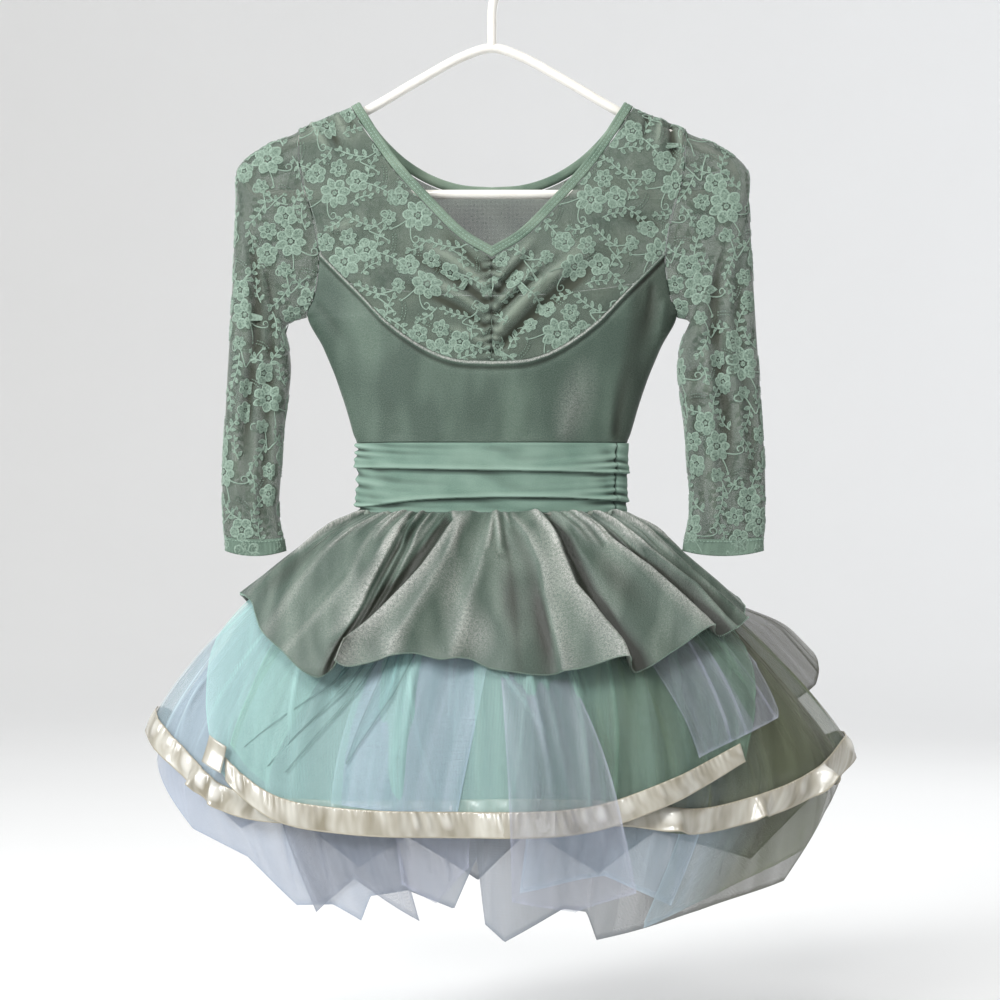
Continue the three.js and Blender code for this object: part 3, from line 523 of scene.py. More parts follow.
# %% A Geometry Nodes tree that lays copies on points
def copy_tree():
    tree = bpy.data.node_groups.new("lay copies", "GeometryNodeTree")
    inputs = [("Points", "NodeSocketGeometry"), ("Copy", "NodeSocketObject"),
              ("Finish", "NodeSocketMaterial")]
    for name, kind in inputs:
        tree.interface.new_socket(name, in_out="INPUT", socket_type=kind)
    tree.interface.new_socket("Copies", in_out="OUTPUT", socket_type="NodeSocketGeometry")
    nodes, links = tree.nodes, tree.links
    start, end = nodes.new("NodeGroupInput"), nodes.new("NodeGroupOutput")
    source = nodes.new("GeometryNodeObjectInfo")
    turn, size = (nodes.new("GeometryNodeInputNamedAttribute") for _ in range(2))
    for node, kind, name in ((turn, "FLOAT_VECTOR", "turn"), (size, "FLOAT", "size")):
        node.data_type = kind
        node.inputs["Name"].default_value = name
    to_turn = nodes.new("FunctionNodeEulerToRotation")
    lay = nodes.new("GeometryNodeInstanceOnPoints")
    real = nodes.new("GeometryNodeRealizeInstances")
    finish = nodes.new("GeometryNodeSetMaterial")
    links.new(start.outputs["Copy"], source.inputs["Object"])
    links.new(start.outputs["Points"], lay.inputs["Points"])
    links.new(source.outputs["Geometry"], lay.inputs["Instance"])
    links.new(turn.outputs["Attribute"], to_turn.inputs["Euler"])
    links.new(to_turn.outputs["Rotation"], lay.inputs["Rotation"])
    links.new(size.outputs["Attribute"], lay.inputs["Scale"])
    links.new(lay.outputs["Instances"], real.inputs["Geometry"])
    links.new(real.outputs["Geometry"], finish.inputs["Geometry"])
    links.new(start.outputs["Finish"], finish.inputs["Material"])
    links.new(finish.outputs["Geometry"], end.inputs["Copies"])
    return tree


COPY_TREE = copy_tree()
COPY_SOCKETS = {item.name: item.identifier for item in COPY_TREE.interface.items_tree
                if item.item_type == "SOCKET" and item.in_out == "INPUT"}


def lay_copies(name, copy, places, turns, sizes, material):
    """A plain mesh of copies of one object. places are in metres, turns are Euler angles."""
    mesh = bpy.data.meshes.new(name + " points")
    mesh.from_pydata([tuple(p) for p in places], [], [])
    turn = mesh.attributes.new("turn", "FLOAT_VECTOR", "POINT")
    turn.data.foreach_set("vector", np.array(turns, float).ravel())
    size = mesh.attributes.new("size", "FLOAT", "POINT")
    size.data.foreach_set("value", np.array(sizes, float).ravel())
    holder = new_object(name + " points", mesh)
    modifier = holder.modifiers.new("copies", "NODES")
    modifier.node_group = COPY_TREE
    modifier[COPY_SOCKETS["Copy"]] = copy
    modifier[COPY_SOCKETS["Finish"]] = material
    evaluated = holder.evaluated_get(bpy.context.evaluated_depsgraph_get())
    result = bpy.data.meshes.new_from_object(evaluated)
    result.name = name
    holder.modifiers.remove(modifier)
    bpy.data.objects.remove(holder)
    return result


def frame_turn(out, along):
    """Euler angles that turn local Z to out and local X to along."""
    z = Vector(out).normalized()
    x = Vector(along)
    x = (x - z * x.dot(z)).normalized()
    return Matrix((x, z.cross(x), z)).transposed().to_euler()


def joined(name, meshes, material):
    """One object from several meshes of the same material."""
    whole = bmesh.new()
    for mesh in meshes:
        whole.from_mesh(mesh)
    result = bpy.data.meshes.new(name)
    whole.to_mesh(result)
    whole.free()
    for mesh in meshes:
        bpy.data.meshes.remove(mesh)
    for polygon in result.polygons:
        polygon.material_index = 0
    result.shade_smooth()
    return new_object(name, result, material)


# %% [markdown]
# Stitches
#
# A row of machine stitches is one short rounded bar, copied along a line at an even pitch. Each
# copy follows the line and is sized a little unevenly, as thread lies.

# %% One stitch, and rows of them
def stitch_copy(width=0.32, height=0.28):
    """A stitch as it shows: a short rounded bar of unit length, pointed at both ends."""
    sections = [(-0.5, 0.0), (-0.32, 0.8), (0.0, 1.0), (0.32, 0.8), (0.5, 0.0)]
    corners = [(math.cos(a), math.sin(a)) for a in (0, math.pi / 3, 2 * math.pi / 3, math.pi,
                                                    4 * math.pi / 3, 5 * math.pi / 3)]
    points, faces = [], []
    for along, share in sections:
        for y, z in corners:
            points.append((along, y * width / 2 * share, z * height / 2 * share))
    for k in range(len(sections) - 1):
        for j in range(6):
            a, b = k * 6 + j, k * 6 + (j + 1) % 6
            faces.append((a, b, b + 6, a + 6))
    mesh = bpy.data.meshes.new("stitch")
    mesh.from_pydata(points, [], faces)
    shape = bmesh.new()
    shape.from_mesh(mesh)
    bmesh.ops.remove_doubles(shape, verts=shape.verts, dist=1e-6)
    bmesh.ops.recalc_face_normals(shape, faces=shape.faces)
    shape.to_mesh(mesh)
    shape.free()
    return new_object("stitch", mesh)


STITCH_COPY = stitch_copy()


def stitch_row(name, path, outward, pitch, length, material, slant=0.0, size_jitter=0.1, seed=3):
    """Stitches along a path of points in millimetres. slant turns each one off the path."""
    path, outward = np.asarray(path, float), np.asarray(outward, float)
    steps = np.linalg.norm(np.diff(path, axis=0), axis=1)
    distance = np.concatenate([[0], np.cumsum(steps)])
    stops = np.arange(pitch / 2, distance[-1], pitch)
    dice = np.random.default_rng(seed)
    at = np.stack([np.interp(stops, distance, path[:, k]) for k in range(3)], axis=1)
    ahead = np.stack([np.interp(stops + 0.4, distance, path[:, k]) for k in range(3)], axis=1)
    behind = np.stack([np.interp(stops - 0.4, distance, path[:, k]) for k in range(3)], axis=1)
    out = unit(np.stack([np.interp(stops, distance, outward[:, k]) for k in range(3)], axis=1))
    turns = []
    for a, b, n in zip(behind, ahead, out):
        along = Vector(b - a)
        along.rotate(Matrix.Rotation(slant, 3, Vector(n)))
        turns.append(frame_turn(n, along))
    sizes = length * (1 + size_jitter * dice.normal(size=len(stops)))
    return lay_copies(name, STITCH_COPY, at * MM, turns, sizes * MM, material)


# %% [markdown]
# The body
#
# The bodice hangs empty on the hanger, so it is two shallow shells that meet at the side seams.
# The same tables of widths and depths as the solids give its surface, and each piece is laid on it
# by its own flat outline. Folds are added outward along the surface's normal.

# %% The torso's surface
SEAM_GAP = 0.3
NECK_GAP = 0.9
BINDING_WIDTH = 7
SHOULDER_X, SHOULDER_Z = 161, -162
NECK_X, NECK_Z = 111.5, -141
UNDERARM_Z = -320
ARMHOLE_DEPTH = 12
SASH_TOP = -426
SASH_BOTTOM = -484.5
TORSO = table(
    "z half front back",
    (-141, 161, 12, 12), (-162, 161, 13, 13), (-184, 161, 15, 14), (-210, 157.5, 18, 16),
    (-235, 150, 21, 18), (-265, 144.5, 24, 20), (-285, 145, 26, 21), (-305, 149, 27, 22),
    (-320, 155, 28, 22), (-347, 141, 28, 22), (-390, 124.5, 27, 22), (-418, 116.3, 26, 22),
    (-426, 113.5, 26, 22), (-466, 111.7, 25, 22), (-485, 111.5, 25, 22),
)
NECK = {
    FRONT: table("step x z", (0, 111.5, -141), (1, 105, -151.5), (2, 92, -172), (3, 76, -194),
                 (4, 51.7, -221), (5, 24, -249), (6, 0, -264)),
    BACK: table("step x z", (0, 111.5, -141), (1, 104, -153), (2, 90, -170.5), (3, 72, -187),
                (4, 50, -200), (5, 26, -207.5), (6, 0, -209.5)),
}
YOKE_SEAM = table("x z", (0, -358.5), (32, -356), (58, -345.5), (88, -324), (111, -300),
                  (128, -283), (144.5, -266))
BACK_SEAM_CENTRE, BACK_SEAM_ARMHOLE = -300, -286
YOKE_SEAM_END_X, YOKE_SEAM_END_Z = 144.5, -266

half_width = curve_of(TORSO, "z", "half")
centre_depth = {FRONT: curve_of(TORSO, "z", "front"), BACK: curve_of(TORSO, "z", "back")}
neck_x = {side: curve_of(NECK[side], "step", "x") for side in NECK}
neck_z = {side: curve_of(NECK[side], "step", "z") for side in NECK}
yoke_seam = curve_of(YOKE_SEAM, "x", "z")


def back_seam(x):
    share = np.minimum(1, (x / half_width(BACK_SEAM_ARMHOLE)) ** 2)
    return mix(BACK_SEAM_CENTRE, BACK_SEAM_ARMHOLE, share)


def rounded(share):
    """Rises from 0 at an edge to 1, as a flattened round does."""
    return np.cbrt(1 - (1 - np.clip(share, 0, 1)) ** 3)


def shoulder_line(x):
    share = (np.abs(x) - NECK_X) / (SHOULDER_X - NECK_X)
    return NECK_Z + np.maximum(0, share) * (SHOULDER_Z - NECK_Z)


def torso_depth(x, z, side):
    share = (SHOULDER_Z - z) / (SHOULDER_Z - UNDERARM_Z)
    edge = ARMHOLE_DEPTH * rounded(1 - np.abs(2 * share - 1))
    centre = centre_depth[side](z) * rounded((shoulder_line(x) - z) / 20)
    across = np.minimum(1, np.abs(x) / half_width(z))
    roundness = 0.5 + 0.5 * edge / ARMHOLE_DEPTH
    return np.maximum(0, edge + (centre - edge) * (1 - across ** 2) ** roundness)


def torso_at(x, z, side, out=0.0):
    """Points on the torso, moved out from it. Returns the points and the outward directions."""
    x, z = np.broadcast_arrays(np.asarray(x, float), np.asarray(z, float))
    small = 0.4
    slope_x = (torso_depth(x + small, z, side) - torso_depth(x - small, z, side)) / (2 * small)
    slope_z = (torso_depth(x, z + small, side) - torso_depth(x, z - small, side)) / (2 * small)
    outward = unit(np.stack([-slope_x, np.full(x.shape, side * 1.0), -slope_z], axis=-1))
    points = np.stack([x, side * (SEAM_GAP / 2 + torso_depth(x, z, side)), z], axis=-1)
    return points + outward * np.asarray(out)[..., None], outward


def neck_edge(t, side, out):
    """The edge of the neck opening in the flat, moved out over the body: t is 0 at the neck point
    and 1 at the centre."""
    t = np.asarray(t, float)
    step, small = 6 * t, 0.02
    x, z = neck_x[side](step), neck_z[side](step)
    dx = neck_x[side](step + small) - neck_x[side](step - small)
    dz = neck_z[side](step + small) - neck_z[side](step - small)
    length = np.hypot(dx, dz)
    line = math.hypot(SHOULDER_X - NECK_X, SHOULDER_Z - NECK_Z)
    flat_x = np.where(t <= 0, x + out * (SHOULDER_X - NECK_X) / line, x - out * dz / length)
    flat_z = np.where(t <= 0, z + out * (SHOULDER_Z - NECK_Z) / line, z + out * dx / length)
    flat_x = np.where(t >= 1, 0, flat_x)
    flat_z = np.where(t >= 1, z - out * length / np.abs(dx), flat_z)
    return np.stack([flat_x, flat_z], axis=-1)


def filled(top, bottom, left, right):
    """A flat four-sided outline filled from its four edges."""
    zero, one = np.zeros(1), np.ones(1)

    def place(u, v):
        u, v = np.broadcast_arrays(u, v)
        a, b = u[..., None], v[..., None]
        corners = (top(zero) * (1 - a) * (1 - b) + top(one) * a * (1 - b)
                   + bottom(zero) * (1 - a) * b + bottom(one) * a * b)
        return top(u) * (1 - b) + bottom(u) * b + left(v) * (1 - a) + right(v) * a - corners

    return place


def flat(x, z):
    return np.stack(np.broadcast_arrays(np.asarray(x, float), np.asarray(z, float)), axis=-1)


def steps(rows, columns):
    u, v = np.meshgrid(np.linspace(0, 1, columns), np.linspace(0, 1, rows))
    return u, v


# %% [markdown]
# Folds one by one
#
# The yoke's centre seam is gathered on a thread, so short puckers cross it and longer folds fan
# out of it towards the shoulders. Each fold is one row of a table: where it starts and ends, how
# high it stands, and how wide it is at both ends. A height below zero is a trough.

# %% Folds of the yoke and the bodice
YOKE_FOLDS = table(
    "x0 z0 x1 z1 high wide0 wide1 bow",
    (2, -352, 112, -262, -3.4, 3.0, 8.5, 5), (2, -338, 104, -246, 2.8, 3.0, 8, 6),
    (2, -306, 46, -258, -2.6, 2.4, 5, 2), (2, -322, 78, -258, -2.2, 2.2, 5, 4),
    (2, -314, 70, -262, 1.8, 2.2, 5, 3), (3, -292, 44, -246, 1.8, 2.2, 5, 0),
    (-2, -312, -84, -262, -2.6, 2.4, 7, -4), (-2, -300, -70, -254, 2.2, 2.4, 6, -4),
    (-2, -332, -92, -290, -2.0, 2.4, 6, -5), (-2, -322, -88, -276, 1.8, 2.4, 6, -5),
    (-2, -346, -58, -326, 1.5, 2.2, 5, -3), (-3, -286, -46, -246, -1.8, 2.2, 5, 0),
    (-152, -156, -128, -196, 2.2, 2.4, 6, 0), (-141, -154, -122, -188, -1.8, 2.2, 5, 0),
    (-131, -150, -116, -180, 1.6, 2.2, 5, 0), (-122, -147, -112, -172, -1.2, 2, 4, 0),
    (150, -158, 154, -204, -2.2, 2.4, 6, 0), (158, -164, 156, -210, 1.8, 2.2, 5, 0),
    (141, -154, 138, -190, 1.8, 2.2, 5, 0), (131, -150, 126, -182, -1.4, 2.2, 4.5, 0),
    (-138, -250, -96, -236, 1.4, 3, 7, 0), (140, -248, 100, -230, -1.6, 3, 7, 0),
)
BODICE_FOLDS = table(
    "x0 z0 x1 z1 high wide0 wide1 bow",
    (134, -292, 122, -352, -1.8, 3, 7, 2), (144, -306, 128, -366, 1.6, 3, 7, 2),
    (-146, -308, -112, -352, -1.4, 3, 8, -2), (104, -424, 114, -350, -2.0, 4, 7, 2),
    (58, -424, 74, -372, 0.9, 5, 9, 0), (30, -424, 36, -366, -0.8, 5, 9, 0),
    (-40, -424, -44, -372, 0.7, 6, 10, 0), (-78, -424, -92, -366, -0.8, 5, 9, 0),
    (2, -424, 6, -370, 0.7, 5, 10, 0),
)
BACK_FOLDS = table(
    "x0 z0 x1 z1 high wide0 wide1 bow",
    (-148, -160, -120, -214, 1.8, 3, 8, 0), (148, -160, 118, -218, 1.8, 3, 8, 0),
    (-120, -280, -50, -250, -1.6, 5, 10, 3), (124, -276, 46, -244, -1.4, 5, 10, -3),
    (-20, -300, -14, -250, 1.0, 5, 9, 0), (-136, -300, -106, -356, -1.6, 4, 9, 0),
    (138, -302, 104, -362, -1.8, 4, 9, 0), (40, -424, 52, -368, 1.0, 5, 9, 0),
    (-52, -424, -60, -366, -1.0, 5, 9, 0), (4, -424, -2, -360, 0.8, 6, 10, 0),
)


def folds_at(x, z, rows):
    total = np.zeros(np.broadcast(x, z).shape)
    columns = [rows[name] for name in "x0 z0 x1 z1 high wide0 wide1 bow".split()]
    for x0, z0, x1, z1, high, wide0, wide1, bow in zip(*columns):
        dx, dz = x1 - x0, z1 - z0
        length = math.hypot(dx, dz)
        along = ((x - x0) * dx + (z - z0) * dz) / length ** 2
        off = ((x - x0) * dz - (z - z0) * dx) / length
        inside = np.clip(along, 0, 1)
        off = off + bow * 4 * inside * (1 - inside)
        fade = smooth(along, -0.06, 0.1) * (1 - smooth(along, 0.4, 1.02))
        total += high * fade * bump(off, mix(wide0, wide1, inside))
    return total


def yoke_relief(x, z):
    """Folds and the puckers of the gathered centre seam, smooth beside the bodice's seam."""
    seam = np.abs(x)
    drop = smooth(-z, 264, 276)
    pucker = np.sin(2 * np.pi * (z + 0.35 * seam) / 8.5 + 1.6 * np.sin(z / 11.0))
    gathered = 1.8 * drop * bump(seam, 8) * pucker - 1.2 * drop * bump(seam, 1.3)
    long_folds = 1.35 * folds_at(x, z, YOKE_FOLDS)
    calm = smooth(z - yoke_seam(np.minimum(seam, YOKE_SEAM_END_X)), 0, 7)
    soft = 0.35 * np.sin(x / 9 + 1.3 * np.sin(z / 17)) * np.sin(z / 13 + x / 40)
    return (gathered + long_folds + soft) * (0.25 + 0.75 * calm)


def bodice_relief(x, z):
    below_seam = yoke_seam(np.minimum(np.abs(x), YOKE_SEAM_END_X)) - z
    rolled = 1.5 * bump(below_seam - 2.6, 2.1) - 0.7 * bump(below_seam - 7.5, 3)
    soft = 0.3 * np.sin(x / 14 + 1.1 * np.sin(z / 23)) * np.sin(z / 21)
    return rolled + (folds_at(x, z, BODICE_FOLDS) + soft) * smooth(z, SASH_TOP, SASH_TOP + 8)


def bodice_pile_and_light(x, z):
    """Where the bodice's pile lies flat, with painted light: painted highlight and shade on its folds,
    a painted highlight on the rolled edge of the yoke seam and painted shade just below it, a painted
    sheen patch, and painted shade down the right side.
    """
    below_seam = yoke_seam(np.minimum(np.abs(x), YOKE_SEAM_END_X)) - z
    # Painted shade down the bodice's right side.
    painted_shade_right = smooth(x - 0.16 * (z + 380), 98, 112)
    # A painted sheen patch.
    painted_sheen_patch = 0.35 * bump(x - 72 - 0.2 * (z + 380), 22) * bump(z + 392, 46)
    # Painted highlight on the rolled edge of the yoke seam, painted shade just below it.
    edge = 0.95 * bump(below_seam - 1.5, 1.5) - 0.5 * bump(below_seam - 6, 2)
    return np.clip(edge + painted_sheen_patch + folds_at(x, z, BODICE_FOLDS) / 8 - 0.42 * painted_shade_right, -1, 1)


def back_relief(x, z):
    soft = 0.35 * np.sin(x / 13 + 1.2 * np.sin(z / 19)) * np.sin(z / 17)
    seam = back_seam(x)
    rolled = 1.0 * bump(z - seam + 2.4, 2.2)
    return folds_at(x, z, BACK_FOLDS) + soft + rolled


# %% [markdown]
# The yokes and the bodice
#
# The front yoke is two lace halves on each side of the gathered seam, and the back yoke is one
# piece. Here the lace is only its sheer ground. The motifs follow below, because they are laid on
# the finished sheets.

# %% Lay the yoke and bodice sheets on the torso
YOKE_OUT = BINDING_WIDTH + NECK_GAP
NECK_SHARE = 0.66


def front_yoke_outline():
    start = neck_edge(0, FRONT, YOKE_OUT)
    neck_bottom = float(neck_edge(1, FRONT, YOKE_OUT)[1])

    def top(u):
        x = mix(start[0], SHOULDER_X, u)
        return flat(x, shoulder_line(x))

    def bottom(u):
        x = mix(SEAM_GAP / 2, YOKE_SEAM_END_X, u)
        return flat(x, yoke_seam(x))

    def inside(v):
        on_neck = neck_edge(np.minimum(v / NECK_SHARE, 1), FRONT, YOKE_OUT)
        share = (v - NECK_SHARE) / (1 - NECK_SHARE)
        x = np.where(v < NECK_SHARE, np.maximum(on_neck[..., 0], SEAM_GAP / 2), SEAM_GAP / 2)
        z = np.where(v < NECK_SHARE, on_neck[..., 1], mix(neck_bottom, -358.5, share))
        return flat(x, z)

    def outside(v):
        z = mix(SHOULDER_Z, YOKE_SEAM_END_Z, v)
        return flat(half_width(z), z)

    return filled(top, bottom, inside, outside)


def torso_sheet(name, outline, grid, side, relief, material, hand=1, thick=0.0, pressed=None):
    u, v = grid
    place = outline(u, v)
    x, z = hand * place[..., 0], place[..., 1]
    points, outward = torso_at(x, z, side, relief(x, z))
    if hand < 0:
        points, outward, x, z = (part[:, ::-1] for part in (points, outward, x, z))
    # pressed gives the field ridge, which the cloth turns into painted highlights on crests and painted
    # shade in valleys.
    fields = {"ridge": pressed(x, z)} if pressed else None
    piece = sheet(name, points, material, side, fields=fields, thick=thick,
                  place=np.stack([x, z], axis=-1) * MM)
    return piece, points


def closer_at_ends(count):
    return (1 - np.cos(np.pi * np.linspace(0, 1, count))) / 2


yoke_grid = np.meshgrid(np.sin(np.linspace(0, np.pi / 2, 110)), np.linspace(0, 1, 190))
lace_sheets = {}
for word, hand in (("left", -1), ("right", 1)):
    name = f"yoke_{word}_net"
    # The yoke's folds also give the net its painted shade and highlight.
    piece, points = torso_sheet(name, front_yoke_outline(), yoke_grid, FRONT, yoke_relief,
                                YOKE_NET, hand, pressed=lambda x, z: yoke_relief(x, z) / 2.6)
    hand_in(piece, [f"yoke_front_{word}"], cut_of(points))
    lace_sheets[name] = (piece, FRONT)


def back_yoke_outline():
    start = neck_edge(0, BACK, YOKE_OUT)
    shoulder_share = 0.16
    neck_part = 1 - 2 * shoulder_share

    def top(u):
        from_centre = np.abs(2 * u - 1)
        hand = np.where(u < 0.5, -1, 1)
        on_neck = neck_edge(np.clip(1 - from_centre / neck_part, 0, 1), BACK, YOKE_OUT)
        x = mix(start[0], SHOULDER_X, (from_centre - neck_part) / (1 - neck_part))
        by_neck = from_centre <= neck_part
        return flat(hand * np.where(by_neck, on_neck[..., 0], x),
                    np.where(by_neck, on_neck[..., 1], shoulder_line(x)))

    seam_half = float(half_width(BACK_SEAM_ARMHOLE))

    def bottom(u):
        x = mix(-seam_half, seam_half, u)
        return flat(x, back_seam(x) + SEAM_GAP)

    def edge(hand):
        def place(v):
            z = mix(SHOULDER_Z, BACK_SEAM_ARMHOLE + SEAM_GAP, v)
            return flat(hand * half_width(z), z)
        return place

    return filled(top, bottom, edge(-1), edge(1))


half_columns = np.concatenate([np.linspace(0, 0.16, 26)[:-1], np.linspace(0.16, 0.5, 70)])
back_columns = np.concatenate([half_columns, 1 - half_columns[:-1][::-1]])
back_rows = np.linspace(0, 1, 120) ** 1.5
# The back yoke's folds give the net its painted shade and highlight.
piece, points = torso_sheet("yoke_back_net", back_yoke_outline(),
                            np.meshgrid(back_columns, back_rows), BACK, back_relief, YOKE_NET,
                            pressed=lambda x, z: back_relief(x, z) / 3)
hand_in(piece, ["yoke_back"], cut_of(points))
lace_sheets["yoke_back_net"] = (piece, BACK)


def bodice_outline(side):
    seam_end = YOKE_SEAM_END_Z if side == FRONT else BACK_SEAM_ARMHOLE
    top_half = float(half_width(seam_end))
    bottom_z = SASH_TOP + SEAM_GAP

    def seam_z(x):
        if side == FRONT:
            return yoke_seam(np.minimum(np.abs(x), YOKE_SEAM_END_X)) - SEAM_GAP
        return back_seam(x) - SEAM_GAP

    def top(u):
        x = mix(-top_half, top_half, u)
        return flat(x, seam_z(x))

    def bottom(u):
        half = half_width(bottom_z)
        return flat(mix(-half, half, u), bottom_z)

    def edge(hand):
        def place(v):
            z = mix(seam_z(top_half), bottom_z, v)
            return flat(hand * half_width(z), z)
        return place

    return filled(top, bottom, edge(-1), edge(1))


bodice_grid = np.meshgrid(closer_at_ends(160), np.linspace(0, 1, 110))
for word, side, relief in (("front", FRONT, bodice_relief), ("back", BACK, back_relief)):
    piece, points = torso_sheet(f"bodice_{word}_velvet", bodice_outline(side), bodice_grid, side,
                                relief, VELVET, thick=1.0,
                                pressed=bodice_pile_and_light if side == FRONT else None)
    hand_in(piece, [f"bodice_{word}"], cut_of(points))

# %% [markdown]
# The sleeves
#
# Each three-quarter sleeve hangs flat and nearly empty, so its rings are flattened rounds. Soft
# folds run down it, a few short ones cross the elbow, and the head is eased into the armhole with
# small gathers.

# %% The sleeves' rings
ARMHOLE_GAP = 0.8
SLEEVE = table(
    "ring out_x out_z in_x in_z depth",
    (0, 161, -162, 155, -320, 12), (1, 185.6, -173.7, 165, -322.5, 12.5),
    (2, 212.5, -194.7, 174, -328.5, 13), (3, 214.5, -224, 173.5, -335, 13.5),
    (4, 216.7, -272, 170.5, -347.5, 14), (5, 219.2, -322, 169, -364, 14.5),
    (6, 221.8, -366, 171, -386, 14.5), (7, 223.6, -402, 174.5, -410, 14),
    (8, 226, -444, 177, -446, 13.5), (9, 226, -484, 179, -483, 12.5),
    (10, 224, -507, 174.5, -508, 12), (11, 223.5, -516, 173.5, -516.5, 12),
)
SLEEVE_PARTS = {name: curve_of(SLEEVE, "ring", name) for name in SLEEVE if name != "ring"}
# across the sleeve from 0 at the outer edge to 1, height, width, and the rings it runs between
SLEEVE_FOLDS = {
    -1: ((0.42, -3.5, 0.11, 2, 8.4), (0.72, -2.5, 0.1, 1, 10), (0.28, 1.6, 0.07, 3, 9.5),
         (0.56, 1.4, 0.06, 4.2, 10.6), (0.86, 1.3, 0.06, 5, 9)),
    1: ((0.5, -3.2, 0.1, 2, 9), (0.2, -2.2, 0.08, 3, 10), (0.34, 1.6, 0.07, 2.6, 8.6),
        (0.68, 1.7, 0.07, 3.4, 10.4), (0.84, -1.6, 0.06, 4.6, 9.4)),
}


def sleeve_points(hand, rings, columns):
    ring = np.linspace(0, 11, rings)[:, None]
    angle = np.linspace(0, 2 * np.pi, columns, endpoint=False)[None, :]
    out_x, out_z, in_x, in_z, depth = (part(ring) for part in SLEEVE_PARTS.values())
    if hand > 0:
        in_x = in_x - 13 * smooth(ring, 0.5, 3.5)
        out_x = out_x + 4 * ring / 11
    along = np.sign(np.cos(angle)) * np.abs(np.cos(angle)) ** (2 / 3)
    side = np.where(np.sin(angle) < 0, BACK, FRONT)
    x = (out_x + in_x) / 2 + along * (out_x - in_x) / 2
    z = (out_z + in_z) / 2 + along * (out_z - in_z) / 2
    x = mix(half_width(z) + ARMHOLE_GAP, x, np.minimum(ring, 1))
    swell = depth * np.cbrt(1 - np.abs(along) ** 3)
    across = (1 - along) / 2
    flatness = np.cbrt(np.maximum(0, 1 - np.abs(along) ** 3))
    # ridge gives the lace net painted shade in the folds' valleys and a painted highlight on their
    # crests.
    ridge = np.zeros(swell.shape)
    for place, high, wide, start, end in SLEEVE_FOLDS[hand]:
        run = smooth(ring, start, start + 1.6) * (1 - smooth(ring, end - 1.6, end))
        drift = 0.03 * np.sin(ring * 1.3 + 5 * place)
        one = high * run * flatness * bump(across - place - drift, wide)
        swell = swell + one
        ridge = ridge + one / 3.4
    gathers = np.sin(angle * 23 + 1.5 * np.sin(angle * 3)) * smooth(ring, 0.02, 0.3)
    swell = swell + 0.9 * gathers * (1 - smooth(ring, 0.4, 1.5)) * flatness
    elbow = np.sin(ring * 7 + 4 * across + hand) * bump(ring - 5.6, 1.4) * bump(across - 0.75, 0.35)
    swell = swell + 1.4 * elbow * flatness
    ridge = ridge + 0.35 * elbow + 0.3 * gathers * (1 - smooth(ring, 0.4, 1.5))
    bowed = 4.2 * (1 - along ** 2) * smooth(ring, 9, 11)
    y = side * (swell + 0.4 * np.sin(ring * 3 + 9 * across) * flatness)
    points = np.stack([x * hand, y, z - bowed], axis=-1)
    return (points, ridge) if hand < 0 else (points[:, ::-1], ridge[:, ::-1])


def grid_normals(points, ring=False):
    if ring:
        across = np.roll(points, -1, axis=1) - np.roll(points, 1, axis=1)
    else:
        across = np.gradient(points, axis=1)
    return unit(np.cross(np.gradient(points, axis=0), across))


sleeve_grids = {}
for word, hand in (("left", -1), ("right", 1)):
    points, ridge = sleeve_points(hand, 230, 128)
    centre = points.mean(axis=1, keepdims=True)
    outward = grid_normals(points, ring=True)
    facing = BACK if ((points - centre) * outward).sum() > 0 else FRONT
    name = f"sleeve_{word}_net"
    piece = sheet(name, points, SLEEVE_NET, FRONT if facing == BACK else BACK, ring=True,
                  fields={"ridge": ridge})
    round_grid = np.concatenate([points, points[:, :1]], axis=1)
    hand_in(piece, [f"sleeve_{word}"], cut_of(round_grid))
    lace_sheets[name] = (piece, 0)
    sleeve_grids[word] = (points, outward * (1 if facing == BACK else -1))

# %% [markdown]
# Lace motifs
#
# The lace is a net with flowers, leaf sprigs and looping cords worked into it in a denser thread,
# each with a raised cord round its outline. Painting them would leave the sheet smooth, so each
# motif is a small domed mesh. They are laid out in an ordinary repeat, turned a little each time,
# and then pressed onto the sheets: every point moves to the nearest point of the net and rises by
# its own height. What passes over a seam is cut off, as lace is.

# %% Small motif meshes
def motif(name, parts):
    """Joins (points, faces, rims) parts. A point is x, y and height in millimetres."""
    points, faces, rims = [], [], []
    for part_points, part_faces, part_rims in parts:
        first = len(points)
        points += part_points
        faces += [tuple(first + i for i in face) for face in part_faces]
        rims += part_rims
    mesh = bpy.data.meshes.new(name)
    mesh.from_pydata([(x * MM, y * MM, z * MM) for x, y, z in points], [], faces)
    for field, values in (("rim", rims), ("height", [z for _, _, z in points])):
        attribute = mesh.attributes.new(field, "FLOAT", "POINT")
        attribute.data.foreach_set("value", values)
    return new_object(name, mesh)


def petal(at, turn, long, wide, pointed=0.0, lift=0.0, corners=10):
    """A rounded petal or leaf: a sunk fill and a raised rim. at is its middle."""
    points, rims = [(at[0], at[1], 0.2 + lift)], [0.25]
    rings = ((0.66, 0.2, 0.0), (0.87, 0.5, 1.0), (1.0, 0.08, 0.5))
    for share, height, rim in rings:
        for k in range(corners):
            a = 2 * math.pi * k / corners
            narrow = 1 - pointed * max(0, math.cos(a)) ** 2 * 0.5
            x = share * long / 2 * math.cos(a)
            y = share * wide / 2 * math.sin(a) * narrow
            points.append((at[0] + x * math.cos(turn) - y * math.sin(turn),
                           at[1] + x * math.sin(turn) + y * math.cos(turn), height + lift))
            rims.append(rim)
    faces = [(0, 1 + k, 1 + (k + 1) % corners) for k in range(corners)]
    for ring in range(2):
        for k in range(corners):
            a, b = 1 + ring * corners + k, 1 + ring * corners + (k + 1) % corners
            faces.append((a, a + corners, b + corners, b))
    return points, faces, rims


